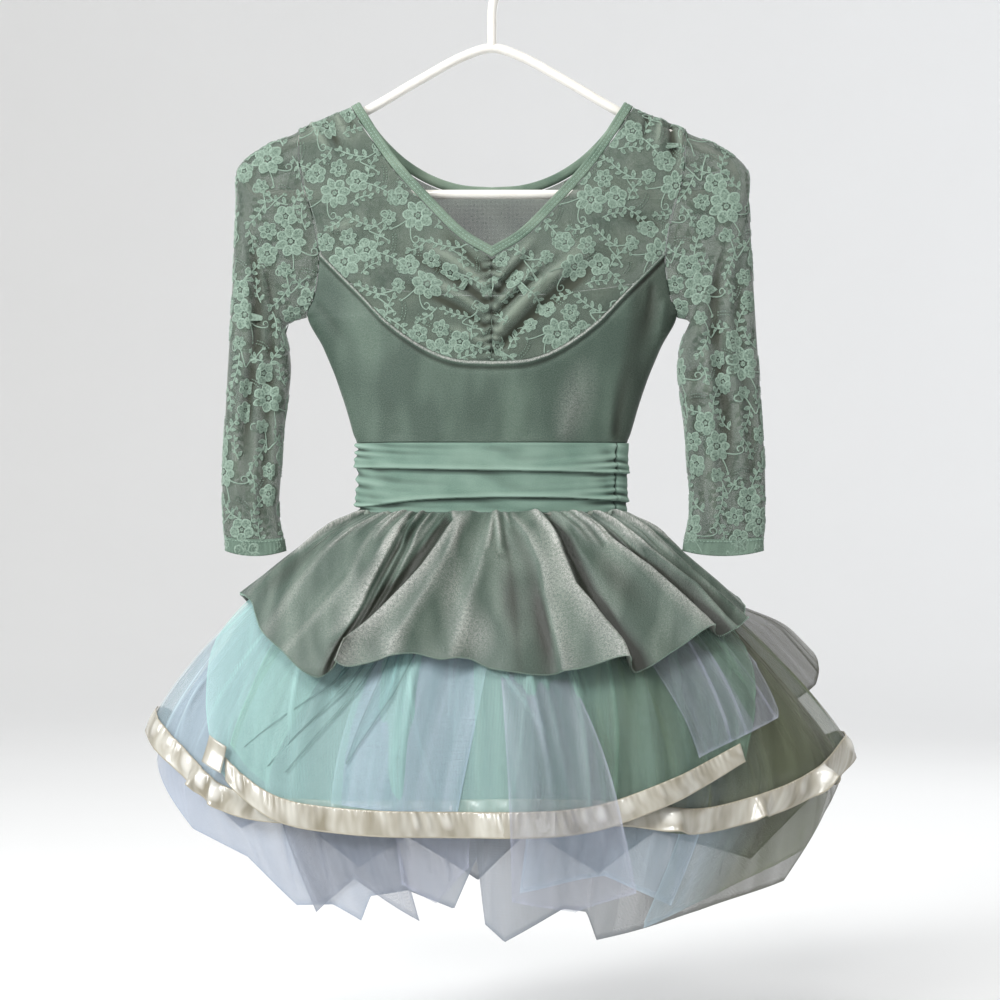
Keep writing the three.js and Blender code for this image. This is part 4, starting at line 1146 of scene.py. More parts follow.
def flower(name, petals, radius, fat=1.0):
    parts = []
    for k in range(petals):
        a = 2 * math.pi * k / petals
        centre = (radius * 0.6 * math.cos(a), radius * 0.6 * math.sin(a))
        wide = fat * 2 * radius * 0.62 * math.sin(math.pi / petals) * (1.12 + 0.14 * math.sin(2.3 * k))
        long = radius * (0.8 + 0.07 * math.sin(3.1 * k + radius))
        parts.append(petal(centre, a + 0.1 * math.sin(4 * k), long, wide, 0.5, lift=0.05 * (k % 2)))
        parts.append(petal(centre, a, long * 0.42, wide * 0.22, lift=0.16, corners=6))
    parts.append(petal((0, 0), 0, radius * 0.3, radius * 0.3, lift=0.24, corners=7))
    return motif(name, parts)


def cord(path, width=1.1, height=0.6):
    """A thin raised cord along a list of places."""
    path = np.array(path, float)
    along = unit(np.gradient(path, axis=0))
    normal = np.stack([-along[:, 1], along[:, 0]], axis=1)
    points, faces, rims = [], [], []
    for place, out in zip(path, normal):
        for share, z, rim in ((-0.5, 0.08, 0.6), (0, height, 1.0), (0.5, 0.08, 0.6)):
            points.append((*(place + out * share * width), z))
            rims.append(rim)
    for k in range(len(path) - 1):
        for j in range(2):
            a = k * 3 + j
            faces.append((a, a + 3, a + 4, a + 1))
    return points, faces, rims


def sprig(name, leaves, length, leaf):
    t = np.linspace(0, 1, 10)
    stem = np.stack([length * (t - 0.5), 2.2 * np.sin(2.6 * t)], axis=1)
    parts = [cord(stem)]
    for k in range(leaves):
        share = (k + 0.6) / leaves
        x, y = np.interp(share, t, stem[:, 0]), np.interp(share, t, stem[:, 1])
        side = 1 if k % 2 else -1
        turn = side * 0.85
        size = leaf * (1 - 0.25 * share)
        centre = (x + size * 0.55 * math.cos(turn), y + size * 0.55 * math.sin(turn))
        parts.append(petal(centre, turn, size, size * 0.58, pointed=0.9, corners=8))
    parts.append(petal((length * 0.5 + leaf * 0.35, stem[-1, 1]), 0.2, leaf * 0.8, leaf * 0.5,
                       pointed=0.9, corners=8))
    return motif(name, parts)


def scroll(name, size):
    """A looping cord that ends in a curl, with a bud."""
    t = np.linspace(0, 1, 26)
    x = size * (1.1 * t - 0.55) + 0.18 * size * np.sin(5.2 * t)
    y = 0.34 * size * np.sin(3.6 * t + 0.4) - 0.16 * size * np.cos(6.6 * t)
    curl = np.linspace(0, 4.6, 14)[1:]
    reach = 0.17 * size * (1 - curl / 7)
    path = np.concatenate([np.stack([x, y], 1),
                           np.stack([x[-1] + reach * np.sin(curl),
                                     y[-1] + 0.17 * size - reach * np.cos(curl)], 1)])
    bud = petal((x[0] - 1.2, y[0]), 2.6, 4.2, 2.8, pointed=0.8, corners=7)
    return motif(name, [cord(path, 1.15, 0.65), bud])


def bead_row(name, count, pitch=2.1):
    """Two rows of short dashes, as between two cords."""
    parts = []
    for k in range(count):
        for side in (-1, 1):
            centre = ((k - count / 2) * pitch, side * 1.25 + 0.12 * (k - count / 2) ** 2)
            parts.append(petal(centre, 0.1 * side, 1.5, 0.95, corners=5))
    return motif(name, parts)


MOTIFS = {
    "rose": flower("rose", 7, 13.5, 1.05),
    "daisy": flower("daisy", 5, 10.0, 1.1),
    "bloom": flower("bloom", 6, 8.2, 1.05),
    "small_sprig": sprig("small sprig", 5, 17, 6.4),
    "long_sprig": sprig("long sprig", 7, 25, 7.0),
    "scroll": scroll("scroll", 24),
    "beads": bead_row("beads", 7),
}
# One repeat of the lace: where each motif lies in it, its turn in degrees and its size
REPEAT_WIDTH, REPEAT_HEIGHT = 66, 58
REPEAT = (
    ("rose", 15, 15, 10, 1.0), ("daisy", 35, 22, 40, 1.0), ("bloom", 21, 35, 75, 1.0),
    ("daisy", 2, 33, 15, 0.86), ("small_sprig", 35, 6, 20, 1.0), ("long_sprig", 52, 12, -35, 1.0),
    ("small_sprig", 48, 30, 65, 1.0), ("long_sprig", 36, 46, 155, 1.0), ("bloom", 57, 46, 30, 0.8),
    ("small_sprig", 12, 49, 200, 1.0), ("scroll", 50, 39, 100, 1.0), ("scroll", 4, 4, -20, 0.9),
    ("beads", 26, 27, 60, 1.0), ("beads", 59, 26, 80, 1.0), ("beads", 8, 42, -30, 1.0),
    ("bloom", 62, 3, 0, 0.62),
)


# %% [markdown]
# The lace's repeat
#
# The motifs repeat over the cloth, and each piece was cut from it at its own angle. So the repeat
# is turned and shifted for each net, laid out flat, and pressed onto the net's folds.

# %% Lay the motifs out and press them onto a net
def lay_lace(name, net, sides, turn, shift):
    """Motifs on one lace sheet. turn is how the lace lay when the piece was cut. The middle of
    the back yoke, under the neck, is plain net."""
    shape = net.data
    tree = BVHTree.FromPolygons([v.co.copy() for v in shape.vertices],
                                [tuple(p.vertices) for p in shape.polygons])
    low = np.array([v.co for v in shape.vertices]).min(axis=0) / MM
    high = np.array([v.co for v in shape.vertices]).max(axis=0) / MM
    reach = 14
    places = {kind: [] for kind in MOTIFS}
    dice = np.random.default_rng(int(200 + shift[0] * 7 + shift[1]))
    middle = (low + high) / 2
    cells = int(max(high[0] - low[0], high[2] - low[2]) / min(REPEAT_WIDTH, REPEAT_HEIGHT)) + 3
    cosine, sine = math.cos(math.radians(turn)), math.sin(math.radians(turn))
    for side in sides:
        for column in range(-cells, cells + 1):
            for row in range(-cells, cells + 1):
                for kind, x, y, angle, size in REPEAT:
                    flat_x = column * REPEAT_WIDTH + x + shift[0]
                    flat_y = row * REPEAT_HEIGHT + y + (column % 2) * REPEAT_HEIGHT / 2 + shift[1]
                    place_x = middle[0] + flat_x * cosine - flat_y * sine
                    place_z = middle[2] + flat_x * sine + flat_y * cosine
                    if not (low[0] - reach < place_x < high[0] + reach):
                        continue
                    if not (low[2] - reach < place_z < high[2] + reach):
                        continue
                    start = Vector((place_x * MM, side * 0.3, place_z * MM))
                    hit, normal, _, _ = tree.ray_cast(start, Vector((0, -side, 0)), 0.3)
                    if hit is None:
                        near, normal, _, _ = tree.find_nearest(Vector((start.x, side * 0.012, start.z)))
                        if (Vector((near.x, near.z)) - Vector((start.x, start.z))).length > 0.011:
                            continue
                        hit = Vector((start.x, near.y, start.z))
                    if side == BACK and abs(hit.x) < 0.062 and hit.z > -0.262:
                        continue
                    spin = math.radians(turn + angle + dice.normal() * 7)
                    along = Vector((math.cos(spin) * -side, 0, math.sin(spin)))
                    places[kind].append((hit, frame_turn(normal, along),
                                         size * (1 + 0.05 * dice.normal())))
    meshes = []
    for kind, found in places.items():
        if found:
            at, turns, sizes = zip(*found)
            meshes.append(lay_copies(f"{name} {kind}", MOTIFS[kind], at, turns, sizes, LACE_THREAD))
    piece = joined(name, meshes, LACE_THREAD)
    press_onto(piece, tree, 0.15)
    return piece


def press_onto(piece, tree, lift):
    """Moves every point to the net and up by its own height, and drops what lies past its edge."""
    mesh = piece.data
    heights = np.zeros(len(mesh.vertices))
    mesh.attributes["height"].data.foreach_get("value", heights)
    outside = np.zeros(len(mesh.vertices), bool)
    for vertex, height in zip(mesh.vertices, heights):
        near, normal, _, _ = tree.find_nearest(vertex.co)
        away = vertex.co - near
        sideways = away - normal * away.dot(normal)
        outside[vertex.index] = sideways.length > 0.00035
        vertex.co = near + normal * (lift + height) * MM
    shape = bmesh.new()
    shape.from_mesh(mesh)
    shape.verts.ensure_lookup_table()
    lost = [face for face in shape.faces if all(outside[v.index] for v in face.verts)]
    bmesh.ops.delete(shape, geom=lost, context="FACES")
    thin = [face for face in shape.faces if face.calc_area() < 1e-9]
    bmesh.ops.delete(shape, geom=thin, context="FACES")
    loose = [v for v in shape.verts if not v.link_faces]
    bmesh.ops.delete(shape, geom=loose, context="VERTS")
    shape.to_mesh(mesh)
    shape.free()
    print(piece.name, len(mesh.polygons), "faces")


LACE_CUTS = {
    "yoke_left_net": ((FRONT,), 8, (6, -4)),
    "yoke_right_net": ((FRONT,), -14, (-20, 12)),
    "yoke_back_net": ((BACK,), 4, (10, 20)),
    "sleeve_left_net": ((FRONT, BACK), 82, (4, 8)),
    "sleeve_right_net": ((FRONT, BACK), 96, (30, -6)),
}
for net_name, (sides, turn, shift) in LACE_CUTS.items():
    motifs = lay_lace(net_name.replace("net", "motifs"), lace_sheets[net_name][0], sides, turn,
                      shift)
    hand_in(motifs)

# %% [markdown]
# The neck binding
#
# A folded strip of jersey is stitched round the V neck and the back neck with a twin needle, which
# leaves two fine ridges. Its profile is swept round the opening: a rounded edge, two ridges and a
# thin inner face.

# %% Sweep the binding round the neck
STRIP_PROFILE = table(
    "out high",
    (-0.9, -0.4), (-0.7, 0.7), (0, 1.25), (1.0, 1.35), (1.9, 0.95), (2.4, 0.8), (3.0, 1.2),
    (3.8, 1.25), (4.6, 0.85), (5.0, 0.8), (5.6, 1.1), (6.6, 1.0), (7.1, 0.5), (7.1, -0.6),
    (3.5, -0.8), (0, -0.8),
)


def neck_loop(count):
    """Places round the whole opening: share of the half edge, side and hand."""
    t = closer_at_ends(count)
    order = [(t[::-1], FRONT, 1), (t[1:], BACK, 1), (t[:-1][::-1], BACK, -1), (t[1:-1], FRONT, -1)]
    shares = np.concatenate([part for part, _, _ in order])
    sides = np.concatenate([np.full(len(part), side) for part, side, _ in order])
    hands = np.concatenate([np.full(len(part), hand) for part, _, hand in order])
    return shares, sides, hands


def on_neck(shares, sides, hands, out, high):
    """Points beside the neck edge, and the directions outward there."""
    points, outward = np.zeros((len(shares), 3)), np.zeros((len(shares), 3))
    for side in (FRONT, BACK):
        chosen = sides == side
        place = neck_edge(shares[chosen], side, out)
        at, normal = torso_at(place[:, 0], place[:, 1], side)
        points[chosen], outward[chosen] = at, normal
    points[shares == 0, 1] = 0
    outward[shares == 0, 1] = 0
    points[:, 0] *= hands
    outward[:, 0] *= hands
    outward = unit(outward)
    return points + outward * high, outward


shares, sides, hands = neck_loop(70)
profile = [on_neck(shares, sides, hands, out, high)[0]
           for out, high in zip(STRIP_PROFILE["out"], STRIP_PROFILE["high"])]
binding_points = np.array(profile)
binding_points = np.concatenate([binding_points, binding_points[:1]])
binding = sheet("neck_binding_strip", binding_points, BINDING_CLOTH, FRONT, ring=True)


def weld(piece, distance=0.00002, recalculate=True):
    shape = bmesh.new()
    shape.from_mesh(piece.data)
    bmesh.ops.remove_doubles(shape, verts=shape.verts, dist=distance)
    if recalculate:
        bmesh.ops.recalc_face_normals(shape, faces=shape.faces)
    shape.to_mesh(piece.data)
    shape.free()
    piece.data.shade_smooth()


weld(binding)
strip_length = np.linalg.norm(np.diff(binding_points[5], axis=0), axis=1).sum() * MM
hand_in(binding, ["neck_binding"], (round(strip_length, 3), 0.0102,
                                              round(strip_length * 0.0098, 5)))
rows = []
for k, out in enumerate((2.2, 4.9)):
    line, outward = on_neck(shares, sides, hands, out, 0.95)
    closed = np.concatenate([line, line[:1]])
    rows.append(stitch_row(f"binding stitches {k}", closed, np.concatenate([outward, outward[:1]]),
                           3.0, 2.3, STITCH, seed=k))
hand_in(joined("neck_stitches", rows, STITCH))

# %% [markdown]
# Cuffs
#
# The sleeve ends in a narrow turned hem with one row of stitches. It is a second sheet just
# outside the net, so the last centimetre looks denser, as a folded edge does.

# %% Turn up the cuffs
def ring_cut(points):
    return cut_of(np.concatenate([points, points[:, :1]], axis=1))


for word, (points, outward) in sleeve_grids.items():
    band, out = points[-25::2], outward[-25::2]
    share = np.linspace(0, 1, len(band))[:, None, None]
    lift = 0.1 + 0.25 * rounded(share / 0.15) + 0.3 * bump(share - 0.9, 0.1)
    pucker = 0.25 * np.sin(np.arange(points.shape[1]) * 1.7)[None, :, None] * smooth(share, 0, 0.2)
    across = np.roll(band[0], -1, axis=0) - band[0]
    facing = FRONT if (np.cross(band[1] - band[0], across) * out[0]).sum() > 0 else BACK
    cuff = sheet(f"cuff_{word}_hem", band + out * (lift + pucker), HEM_LACE, facing, ring=True,
                 thick=0.8)
    hand_in(cuff, (), ring_cut(band))
    line = band[1] + out[1] * 0.7
    stitched = stitch_row(f"cuff {word} stitches", np.concatenate([line, line[:1]]),
                          np.concatenate([out[1], out[1][:1]]), 2.8, 2.1, STITCH, seed=11)
    hand_in(joined(f"cuff_{word}_stitches", [stitched], STITCH))

# %% [markdown]
# The sash
#
# A plain jersey band, tucked into three steps that overlap downwards and ruched into the side
# seams. The right side seam has swung to the front, so the front panel stops short there and the
# back panel wraps round to meet it.

# %% Lay the sash round the waist
SASH_TUCKS = table(
    "angle first second",
    (-90, -446.5, -480), (-60, -447, -478.5), (-30, -448, -473.5), (0, -449, -471.5),
    (30, -450, -471.8), (60, -451, -474), (90, -451.5, -475.5),
)
RIGHT_SEAM_ANGLE = 66
tuck_lines = {name: curve_of(SASH_TUCKS, "angle", name) for name in ("first", "second")}


def sash_relief(angle, z, seams):
    """Steps of the tucks, and the gathers beside each seam. angle is 0 at the front centre."""
    fold_angle = np.clip(np.where(np.abs(angle) > 90, 180 - np.abs(angle), np.abs(angle))
                         * np.sign(angle), -90, 90)
    first, second = tuck_lines["first"](fold_angle), tuck_lines["second"](fold_angle)
    total = 0.9 + 0.0 * z
    for top, bottom, drop in ((SASH_TOP, first, 2.9), (first, second, 3.0), (second, SASH_BOTTOM, 1.2)):
        share = np.clip((top - z) / (top - bottom), 0, 1)
        inside = (z <= top) & (z > bottom)
        lip = rounded((z - bottom) / 1.3)
        total = np.where(inside, 0.9 + drop * share ** 1.4 * lip, total)
    total = total + 0.35 * bump(z - SASH_TOP + 1.5, 1.6)
    for seam, reach, pitch in seams:
        away = np.abs((angle - seam + 180) % 360 - 180)
        fade = np.exp(-away / reach)
        wave = np.sin(2 * np.pi * z / pitch + 0.09 * away + 1.7 * np.sin(z / 6.3 + seam))
        uneven = 0.6 + 0.4 * np.sin(z / 4.1 + seam)
        total = total + 1.9 * uneven * fade * wave * smooth(z, SASH_BOTTOM, SASH_BOTTOM + 3)
        total = total - 1.4 * bump(away, 1.2)
    soft = 0.8 * np.sin(z / 4.2 + angle / 13 + np.sin(angle / 9)) * np.sin(angle / 19 + 1.0)
    return total + soft * smooth(z, SASH_BOTTOM, SASH_BOTTOM + 5)


def above_mean(values, rows, columns):
    """How far a value stands above the mean of its neighbours, a few rows and columns around."""
    mean = np.zeros(values.shape)
    padded = np.pad(values, ((rows, rows), (columns, columns)), mode="edge")
    shifts = [(i, j) for i in range(0, 2 * rows + 1, 2) for j in range(0, 2 * columns + 1, 3)]
    for i, j in shifts:
        mean += padded[i:i + values.shape[0], j:j + values.shape[1]]
    return values - mean / len(shifts)


def sash_points(angles, heights):
    angle, z = np.meshgrid(angles, heights)
    out = sash_relief(angle, z, ((-88, 24, 7.5), (RIGHT_SEAM_ANGLE, 14, 6.0)))
    radians = np.radians(angle)
    depth = np.where(np.cos(radians) >= 0, centre_depth[FRONT](z), centre_depth[BACK](z))
    x = (half_width(z) + out) * np.sin(radians)
    y = -(depth + out) * np.cos(radians) - np.sign(np.cos(radians)) * SEAM_GAP / 2
    # The second value is the field ridge: painted shade under the tucks and in the gathers, and a
    # painted highlight on their crests.
    return np.stack([x, y, z], axis=-1), np.clip(above_mean(out, 7, 9) / 1.1, -1, 1)


sash_heights = np.linspace(SASH_TOP, SASH_BOTTOM, 96)
for word, start, end in (("front", -89.8, RIGHT_SEAM_ANGLE - 0.3),
                         ("back", RIGHT_SEAM_ANGLE + 0.3, 269.8)):
    points, ridge = sash_points(np.linspace(start, end, 220), sash_heights)
    piece = sheet(f"sash_{word}_band", points, JERSEY, FRONT, fields={"ridge": ridge}, thick=0.9)
    hand_in(piece, [f"sash_{word}"], cut_of(points))

# %% [markdown]
# The skirt's flare
#
# Every skirt layer hangs on the same flare, each a little further out than the one below. A point
# is given by its angle round the body, its height and how far out it stands. Angles are 0 at the
# centre of the front or the back and 90 at the side seams.

# %% The flare's surface
SKIRT_TOP = -484.8
FLARE = table(
    "z half front back",
    (-484.8, 104.5, 20, 18), (-489, 105.5, 21, 19), (-496, 119, 30, 28), (-508, 141, 44, 40),
    (-525, 162, 57, 52), (-545, 183, 69, 63), (-565, 203, 80, 73), (-584, 221, 89, 82),
    (-610, 244, 101, 93), (-649, 272, 117, 108), (-680, 286, 128, 118), (-710, 290, 137, 127),
    (-740, 286, 143, 133), (-780, 274, 140, 130), (-825, 258, 132, 122),
)
RIGHT_HALF = table(
    "z share",
    (-484.8, 1), (-500, 0.97), (-520, 0.945), (-570, 0.95), (-640, 0.99), (-700, 1.035),
    (-825, 1.035),
)
flare_half = curve_of(FLARE, "z", "half")
flare_depth = {FRONT: curve_of(FLARE, "z", "front"), BACK: curve_of(FLARE, "z", "back")}
right_half = curve_of(RIGHT_HALF, "z", "share")


def from_waist(z):
    return smooth(SKIRT_TOP - z, 0, 150)


def flare_point(angle, z, side):
    radians = np.radians(angle)
    wider = 1 + (right_half(z) - 1) * np.maximum(0, np.sin(radians)) ** 2
    y = side * (SEAM_GAP / 2 + flare_depth[side](z) * np.cos(radians))
    return np.stack([flare_half(z) * wider * np.sin(radians), y, z + 0 * y], axis=-1)


def skirt_at(angle, z, side, out):
    """Points of a skirt layer that stands out from the flare."""
    angle, z = np.broadcast_arrays(np.asarray(angle, float), np.asarray(z, float))
    small = 0.5
    across = flare_point(angle + small, z, side) - flare_point(angle - small, z, side)
    down = flare_point(angle, z - small, side) - flare_point(angle, z + small, side)
    outward = np.cross(across, down) * side
    outward[..., 2] = np.where(z >= SKIRT_TOP, 0, outward[..., 2])
    return flare_point(angle, z, side) + unit(outward) * np.asarray(out)[..., None]


def layer_out(layer, z):
    return layer * mix(1.8, 5.2, from_waist(z))


def ruffle(angle, z):
    radians = np.radians(angle)
    wave = np.sin(14 * radians + 1.4 * np.sin(3 * radians))
    return 4.5 * from_waist(z) * wave * np.sqrt(np.maximum(0, np.cos(radians)))


# %% [markdown]
# The peplum
#
# The velvet overskirt carries the largest folds of the dress. Each fold is a crest that runs down
# from the gathered waist. One flank is often steep and the crest leans over it, as a real pleat
# does, and the flat cloth between two crests is a broad panel. The crests are placed one by one.

# %% The peplum's folds
def fold(crest, top, hem, left, right, lean=0.0, until=-640):
    """One fold. crest is a list of (z, angle). top and hem are heights in millimetres, left and
    right the flanks' widths in degrees, and lean tips the crest over its steep flank."""
    rows = sorted(crest)
    return dict(z=[row[0] for row in rows], angle=[row[1] for row in rows], top=top, hem=hem,
                left=left, right=right, lean=lean, until=until)


PEPLUM_FRONT = (
    fold([(-486, -78), (-530, -73), (-570, -70)], 1.0, 4.5, 5.0, 6.0),
    fold([(-486, -62), (-525, -56), (-600, -48)], 1.5, 4.0, 8.0, 6.0),
    fold([(-486, -46), (-545, -37), (-612, -41)], 1.5, 3.4, 5.0, 4.0),
    fold([(-486, -38), (-510, -31.5), (-567, -29.8), (-612, -31)], 3.0, 8.5, 5.5, 1.2, 1.0),
    fold([(-486, -32), (-520, -27.2), (-565, -27.3), (-607, -28.4)], 3.0, 8.0, 1.5, 1.1, 0.9),
    fold([(-486, -27), (-520, -24.0), (-556, -24.4), (-600, -27.0)], 2.6, 6.5, 1.3, 1.6, 0.4),
    fold([(-486, -19), (-500, -13.5), (-535, -16.9), (-553, -19.3), (-600, -26.2)],
         3.0, 13.5, 1.7, 8.5, -1.7),
    fold([(-486, -8.5), (-517, -10.8), (-547, -13), (-598, -17.4)], 2.6, 4.0, 2.0, 3.4, -0.4),
    fold([(-486, 2.2), (-513, -1.1), (-553, -4.5), (-604, -7)], 3.2, 3.2, 2.0, 3.4),
    fold([(-486, 4.6), (-522, 4.8)], -2.0, -1.0, 1.2, 1.0, 0.0, -535),
    fold([(-495, 8.5), (-510, 11.8), (-534, 13.2), (-558, 12.2), (-607, 13.0)],
         1.0, 5.0, 1.5, 4.5, -0.8),
    fold([(-486, 18.6), (-511, 19.7), (-552, 18.8), (-568, 20.6), (-602, 22.8)],
         3.0, 14.5, 8.0, 1.5, 1.8),
    fold([(-486, 25.5), (-514, 23.2), (-560, 24.2), (-604, 26.5)], -2.0, -4.0, 2.2, 3.0),
    fold([(-496, 27.5), (-522, 26.2), (-540, 27.5)], 3.2, 1.5, 1.4, 3.2, 0.0, -552),
    fold([(-486, 38), (-514, 40.0), (-538, 45), (-582, 47.5)], 3.0, 13.0, 10.0, 1.9, 1.4),
    fold([(-486, 49), (-521, 54.5), (-554, 58), (-582, 55.5)], 2.6, 7.5, 2.6, 1.8, 0.8),
    fold([(-486, 66), (-513, 68), (-542, 66), (-578, 65)], 2.0, 6.0, 4.0, 2.4, 0.8),
    fold([(-486, 80), (-530, 79), (-570, 78)], 1.5, 4.0, 4.0, 4.0),
)
PEPLUM_BACK = (
    fold([(-486, -62), (-530, -58), (-605, -52)], 2.0, 8.0, 6.0, 2.2, 1.2),
    fold([(-486, -40), (-530, -37), (-605, -33)], 3.0, 12.5, 2.0, 6.0, -1.4),
    fold([(-486, -30), (-520, -28), (-605, -24)], 2.5, 5.0, 2.0, 3.0),
    fold([(-486, -21), (-540, -19), (-605, -17)], 3.0, 9.0, 4.5, 1.5, 1.0),
    fold([(-486, -4), (-540, -2), (-605, -1)], 2.6, 11.0, 1.8, 6.5, -1.4),
    fold([(-486, 8), (-520, 8), (-605, 7)], 2.4, 4.0, 2.2, 3.4),
    fold([(-486, 17), (-540, 15), (-605, 14)], 3.0, 9.0, 4.5, 1.6, 1.0),
    fold([(-486, 34), (-540, 32), (-605, 31)], 3.0, 13.0, 6.0, 1.8, 1.6),
    fold([(-486, 44), (-520, 44), (-600, 42)], -2.0, -3.0, 3.0, 3.0),
    fold([(-486, 58), (-540, 54), (-600, 52)], 2.4, 8.5, 2.4, 5.0, -1.2),
    fold([(-486, 74), (-540, 72), (-590, 70)], 2.0, 5.0, 4.0, 3.0),
)
PEPLUM_HEM = {
    FRONT: table("angle z", (-90, -562), (-68, -566), (-60, -576), (-50, -592), (-41, -606),
                 (-32, -624), (-28, -614), (-24, -617), (-20, -612), (-14, -605), (-9, -608),
                 (-4, -606), (0, -614), (7, -619), (15, -617), (22, -611), (26, -618),
                 (36, -603), (47, -590), (52, -594), (65, -585), (78, -574), (90, -562)),
    BACK: table("angle z", (-90, -562), (-74, -570), (-58, -588), (-45, -600), (-33, -596),
                (-20, -606), (-8, -600), (6, -608), (18, -602), (32, -597), (44, -606),
                (58, -588), (74, -572), (90, -558)),
}


PEPLUM_LENGTH = 112
FOLD_DEPTH = 1.22


def peplum_shape(angle, z, folds):
    """How far the folds stand out, how far they lean, and where the pile is pressed, with a painted
    highlight on each crest and painted shade beside a steep flank.
    """
    high, lean, ridge = (np.zeros(angle.shape) for _ in range(3))
    for one in folds:
        crest = np.interp(z, one["z"], one["angle"])
        down = np.clip((SKIRT_TOP - z) / PEPLUM_LENGTH, 0, 1)
        strength = FOLD_DEPTH * mix(one["top"], one["hem"], down ** 0.8) * smooth(SKIRT_TOP - z, 0, 9)
        strength = strength * (1 - smooth(-z, -one["until"] - 25, -one["until"]))
        off = angle - crest
        width = np.where(off < 0, one["left"], one["right"])
        shape = np.exp(-np.abs(off / width) ** 1.6)
        high += strength * shape
        lean += one["lean"] * shape * down
        steep = max(one["left"], one["right"]) > 2.5 * min(one["left"], one["right"])
        gentle = off < 0 if one["left"] > one["right"] else off > 0
        crest_width = np.clip(0.45 * width, 0.9, 3.4)
        # Crest: pressed pile with a painted highlight, or painted shade where the fold is a trough.
        pressed = np.exp(-np.abs(off / crest_width) ** 1.5) * np.sign(one["hem"])
        ridge += np.clip(abs(one["hem"]) / 9, 0.25, 1) * pressed * smooth(SKIRT_TOP - z, 0, 12)
        if steep:
            side_width = min(one["left"], one["right"])
            # Painted shade beside a steep flank.
            painted_shade_beyond = np.where(gentle, 0, np.exp(-((np.abs(off) - 2.3 * side_width) / 2.4) ** 2))
            ridge -= min(1.6, (one["hem"] / 9) ** 2) * painted_shade_beyond * smooth(SKIRT_TOP - z, 0, 25)
    return high, lean, np.clip(ridge, -1, 1)


# Patches of pressed pile with a painted highlight (above zero) and of painted shade (below zero):
# angle, height, widths, how much
PRESSED_PILE_AND_PAINTED_LIGHT = (
    (-3, -588, 4.5, 22, 0.5), (-9, -552, 2.6, 28, 0.4), (-18, -598, 3, 14, 0.35),
    (-34, -560, 3, 22, 0.2), (4, -560, 2.4, 30, -0.5), (10.5, -580, 1.6, 30, -0.8),
    (24, -580, 3, 26, -0.4), (33, -545, 5, 22, -0.4), (-12, -520, 2, 16, -0.4),
    (60, -560, 10, 34, -0.6), (-66, -540, 8, 22, -0.4),
)


def peplum_points(side, folds, columns=400, rows=96):
    angle, share = np.meshgrid(np.linspace(-90, 90, columns), np.linspace(0, 1, rows))
    z = mix(SKIRT_TOP, curve_of(PEPLUM_HEM[side], "angle", "z")(angle), share)
    high, lean, ridge = peplum_shape(angle, z, folds)
    fine = small_gathers(angle, z, 5 + side, 70, (-84, 84), SKIRT_TOP, (16, 46), (0.8, 2.6), (0.7, 1.6))
    flutter = 1.6 * np.sin(angle / 3.1 + 1.5 * np.sin(angle / 7)) * smooth(share, 0.75, 1)
    soft = 0.5 * np.sin(angle / 4 + z / 14) * np.sin(z / 19 + angle / 11)
    out = (layer_out(4.1, z) + 0.55 * ruffle(angle, z) + high + fine * smooth(SKIRT_TOP - z, 0, 5)
           + (flutter + soft) * from_waist(z) ** 0.5)
    # Patches of painted highlight and painted shade on the pile.
    for place, height, wide, tall, patch_light in PRESSED_PILE_AND_PAINTED_LIGHT:
        ridge = ridge + patch_light * bump(angle - place, wide) * bump(z - height, tall)
    # The small gathers add their painted highlights and shade to the ridge too.
    return skirt_at(angle + lean, z, side, out), np.clip(ridge + fine / 3, -1, 1)


for word, side, folds in (("front", FRONT, PEPLUM_FRONT), ("back", BACK, PEPLUM_BACK)):
    points, ridge = peplum_points(side, folds)
    piece = sheet(f"peplum_{word}_velvet", points, CRUSHED_VELVET, side, fields={"ridge": ridge},
                  thick=0.9)
    hand_in(piece, [f"peplum_{word}"], cut_of(points))
    normals = grid_normals(points)
    toward = np.where((normals * (points - points.mean(axis=(0, 1)))).sum(-1, keepdims=True) > 0, 1, -1)
    hem_line, hem_out = points[-1], (normals * toward)[-1]
    stitched = stitch_row(f"peplum {word} edge", hem_line + [0, 0, 0.3], hem_out, 1.7, 1.7, STITCH,
                          slant=1.25, seed=21)
    hand_in(joined(f"peplum_{word}_overlock", [stitched], STITCH))

# %% [markdown]
# Tulle
#
# The tulle is soft net in several colours that overlap: ice blue, mint, sage and lavender. Where
# two sheets cross, the colour deepens, so the look comes from real separate sheets and not from
# paint. A sheet is wide at the hem and gathered at the waist, with thin creases that run down it,
# and a crease is denser because the net lies double there.

# %% Tulle sheets
def tulle_creases(angle, z, seed, count, spread):
    """Thin creases: their height, and where the net lies double."""
    dice = np.random.default_rng(seed)
    high, dense = np.zeros(angle.shape), np.zeros(angle.shape)
    for _ in range(count):
        top, bottom = -484 - dice.uniform(0, 90), -600 - dice.uniform(0, 190)
        start = dice.uniform(*spread)
        swing = dice.normal() * 5
        share = np.clip((top - z) / (top - bottom), 0, 1)
        fade = np.sin(np.pi * share) ** 0.5
        width = dice.uniform(0.35, 1.1)
        shape = bump(angle - start - swing * share, width) * fade
        high += dice.uniform(-2.2, 2.8) * shape
        dense += dice.uniform(0.15, 0.6) * bump(angle - start - swing * share, 0.4) * fade
    return high, np.clip(dense, 0, 0.8)


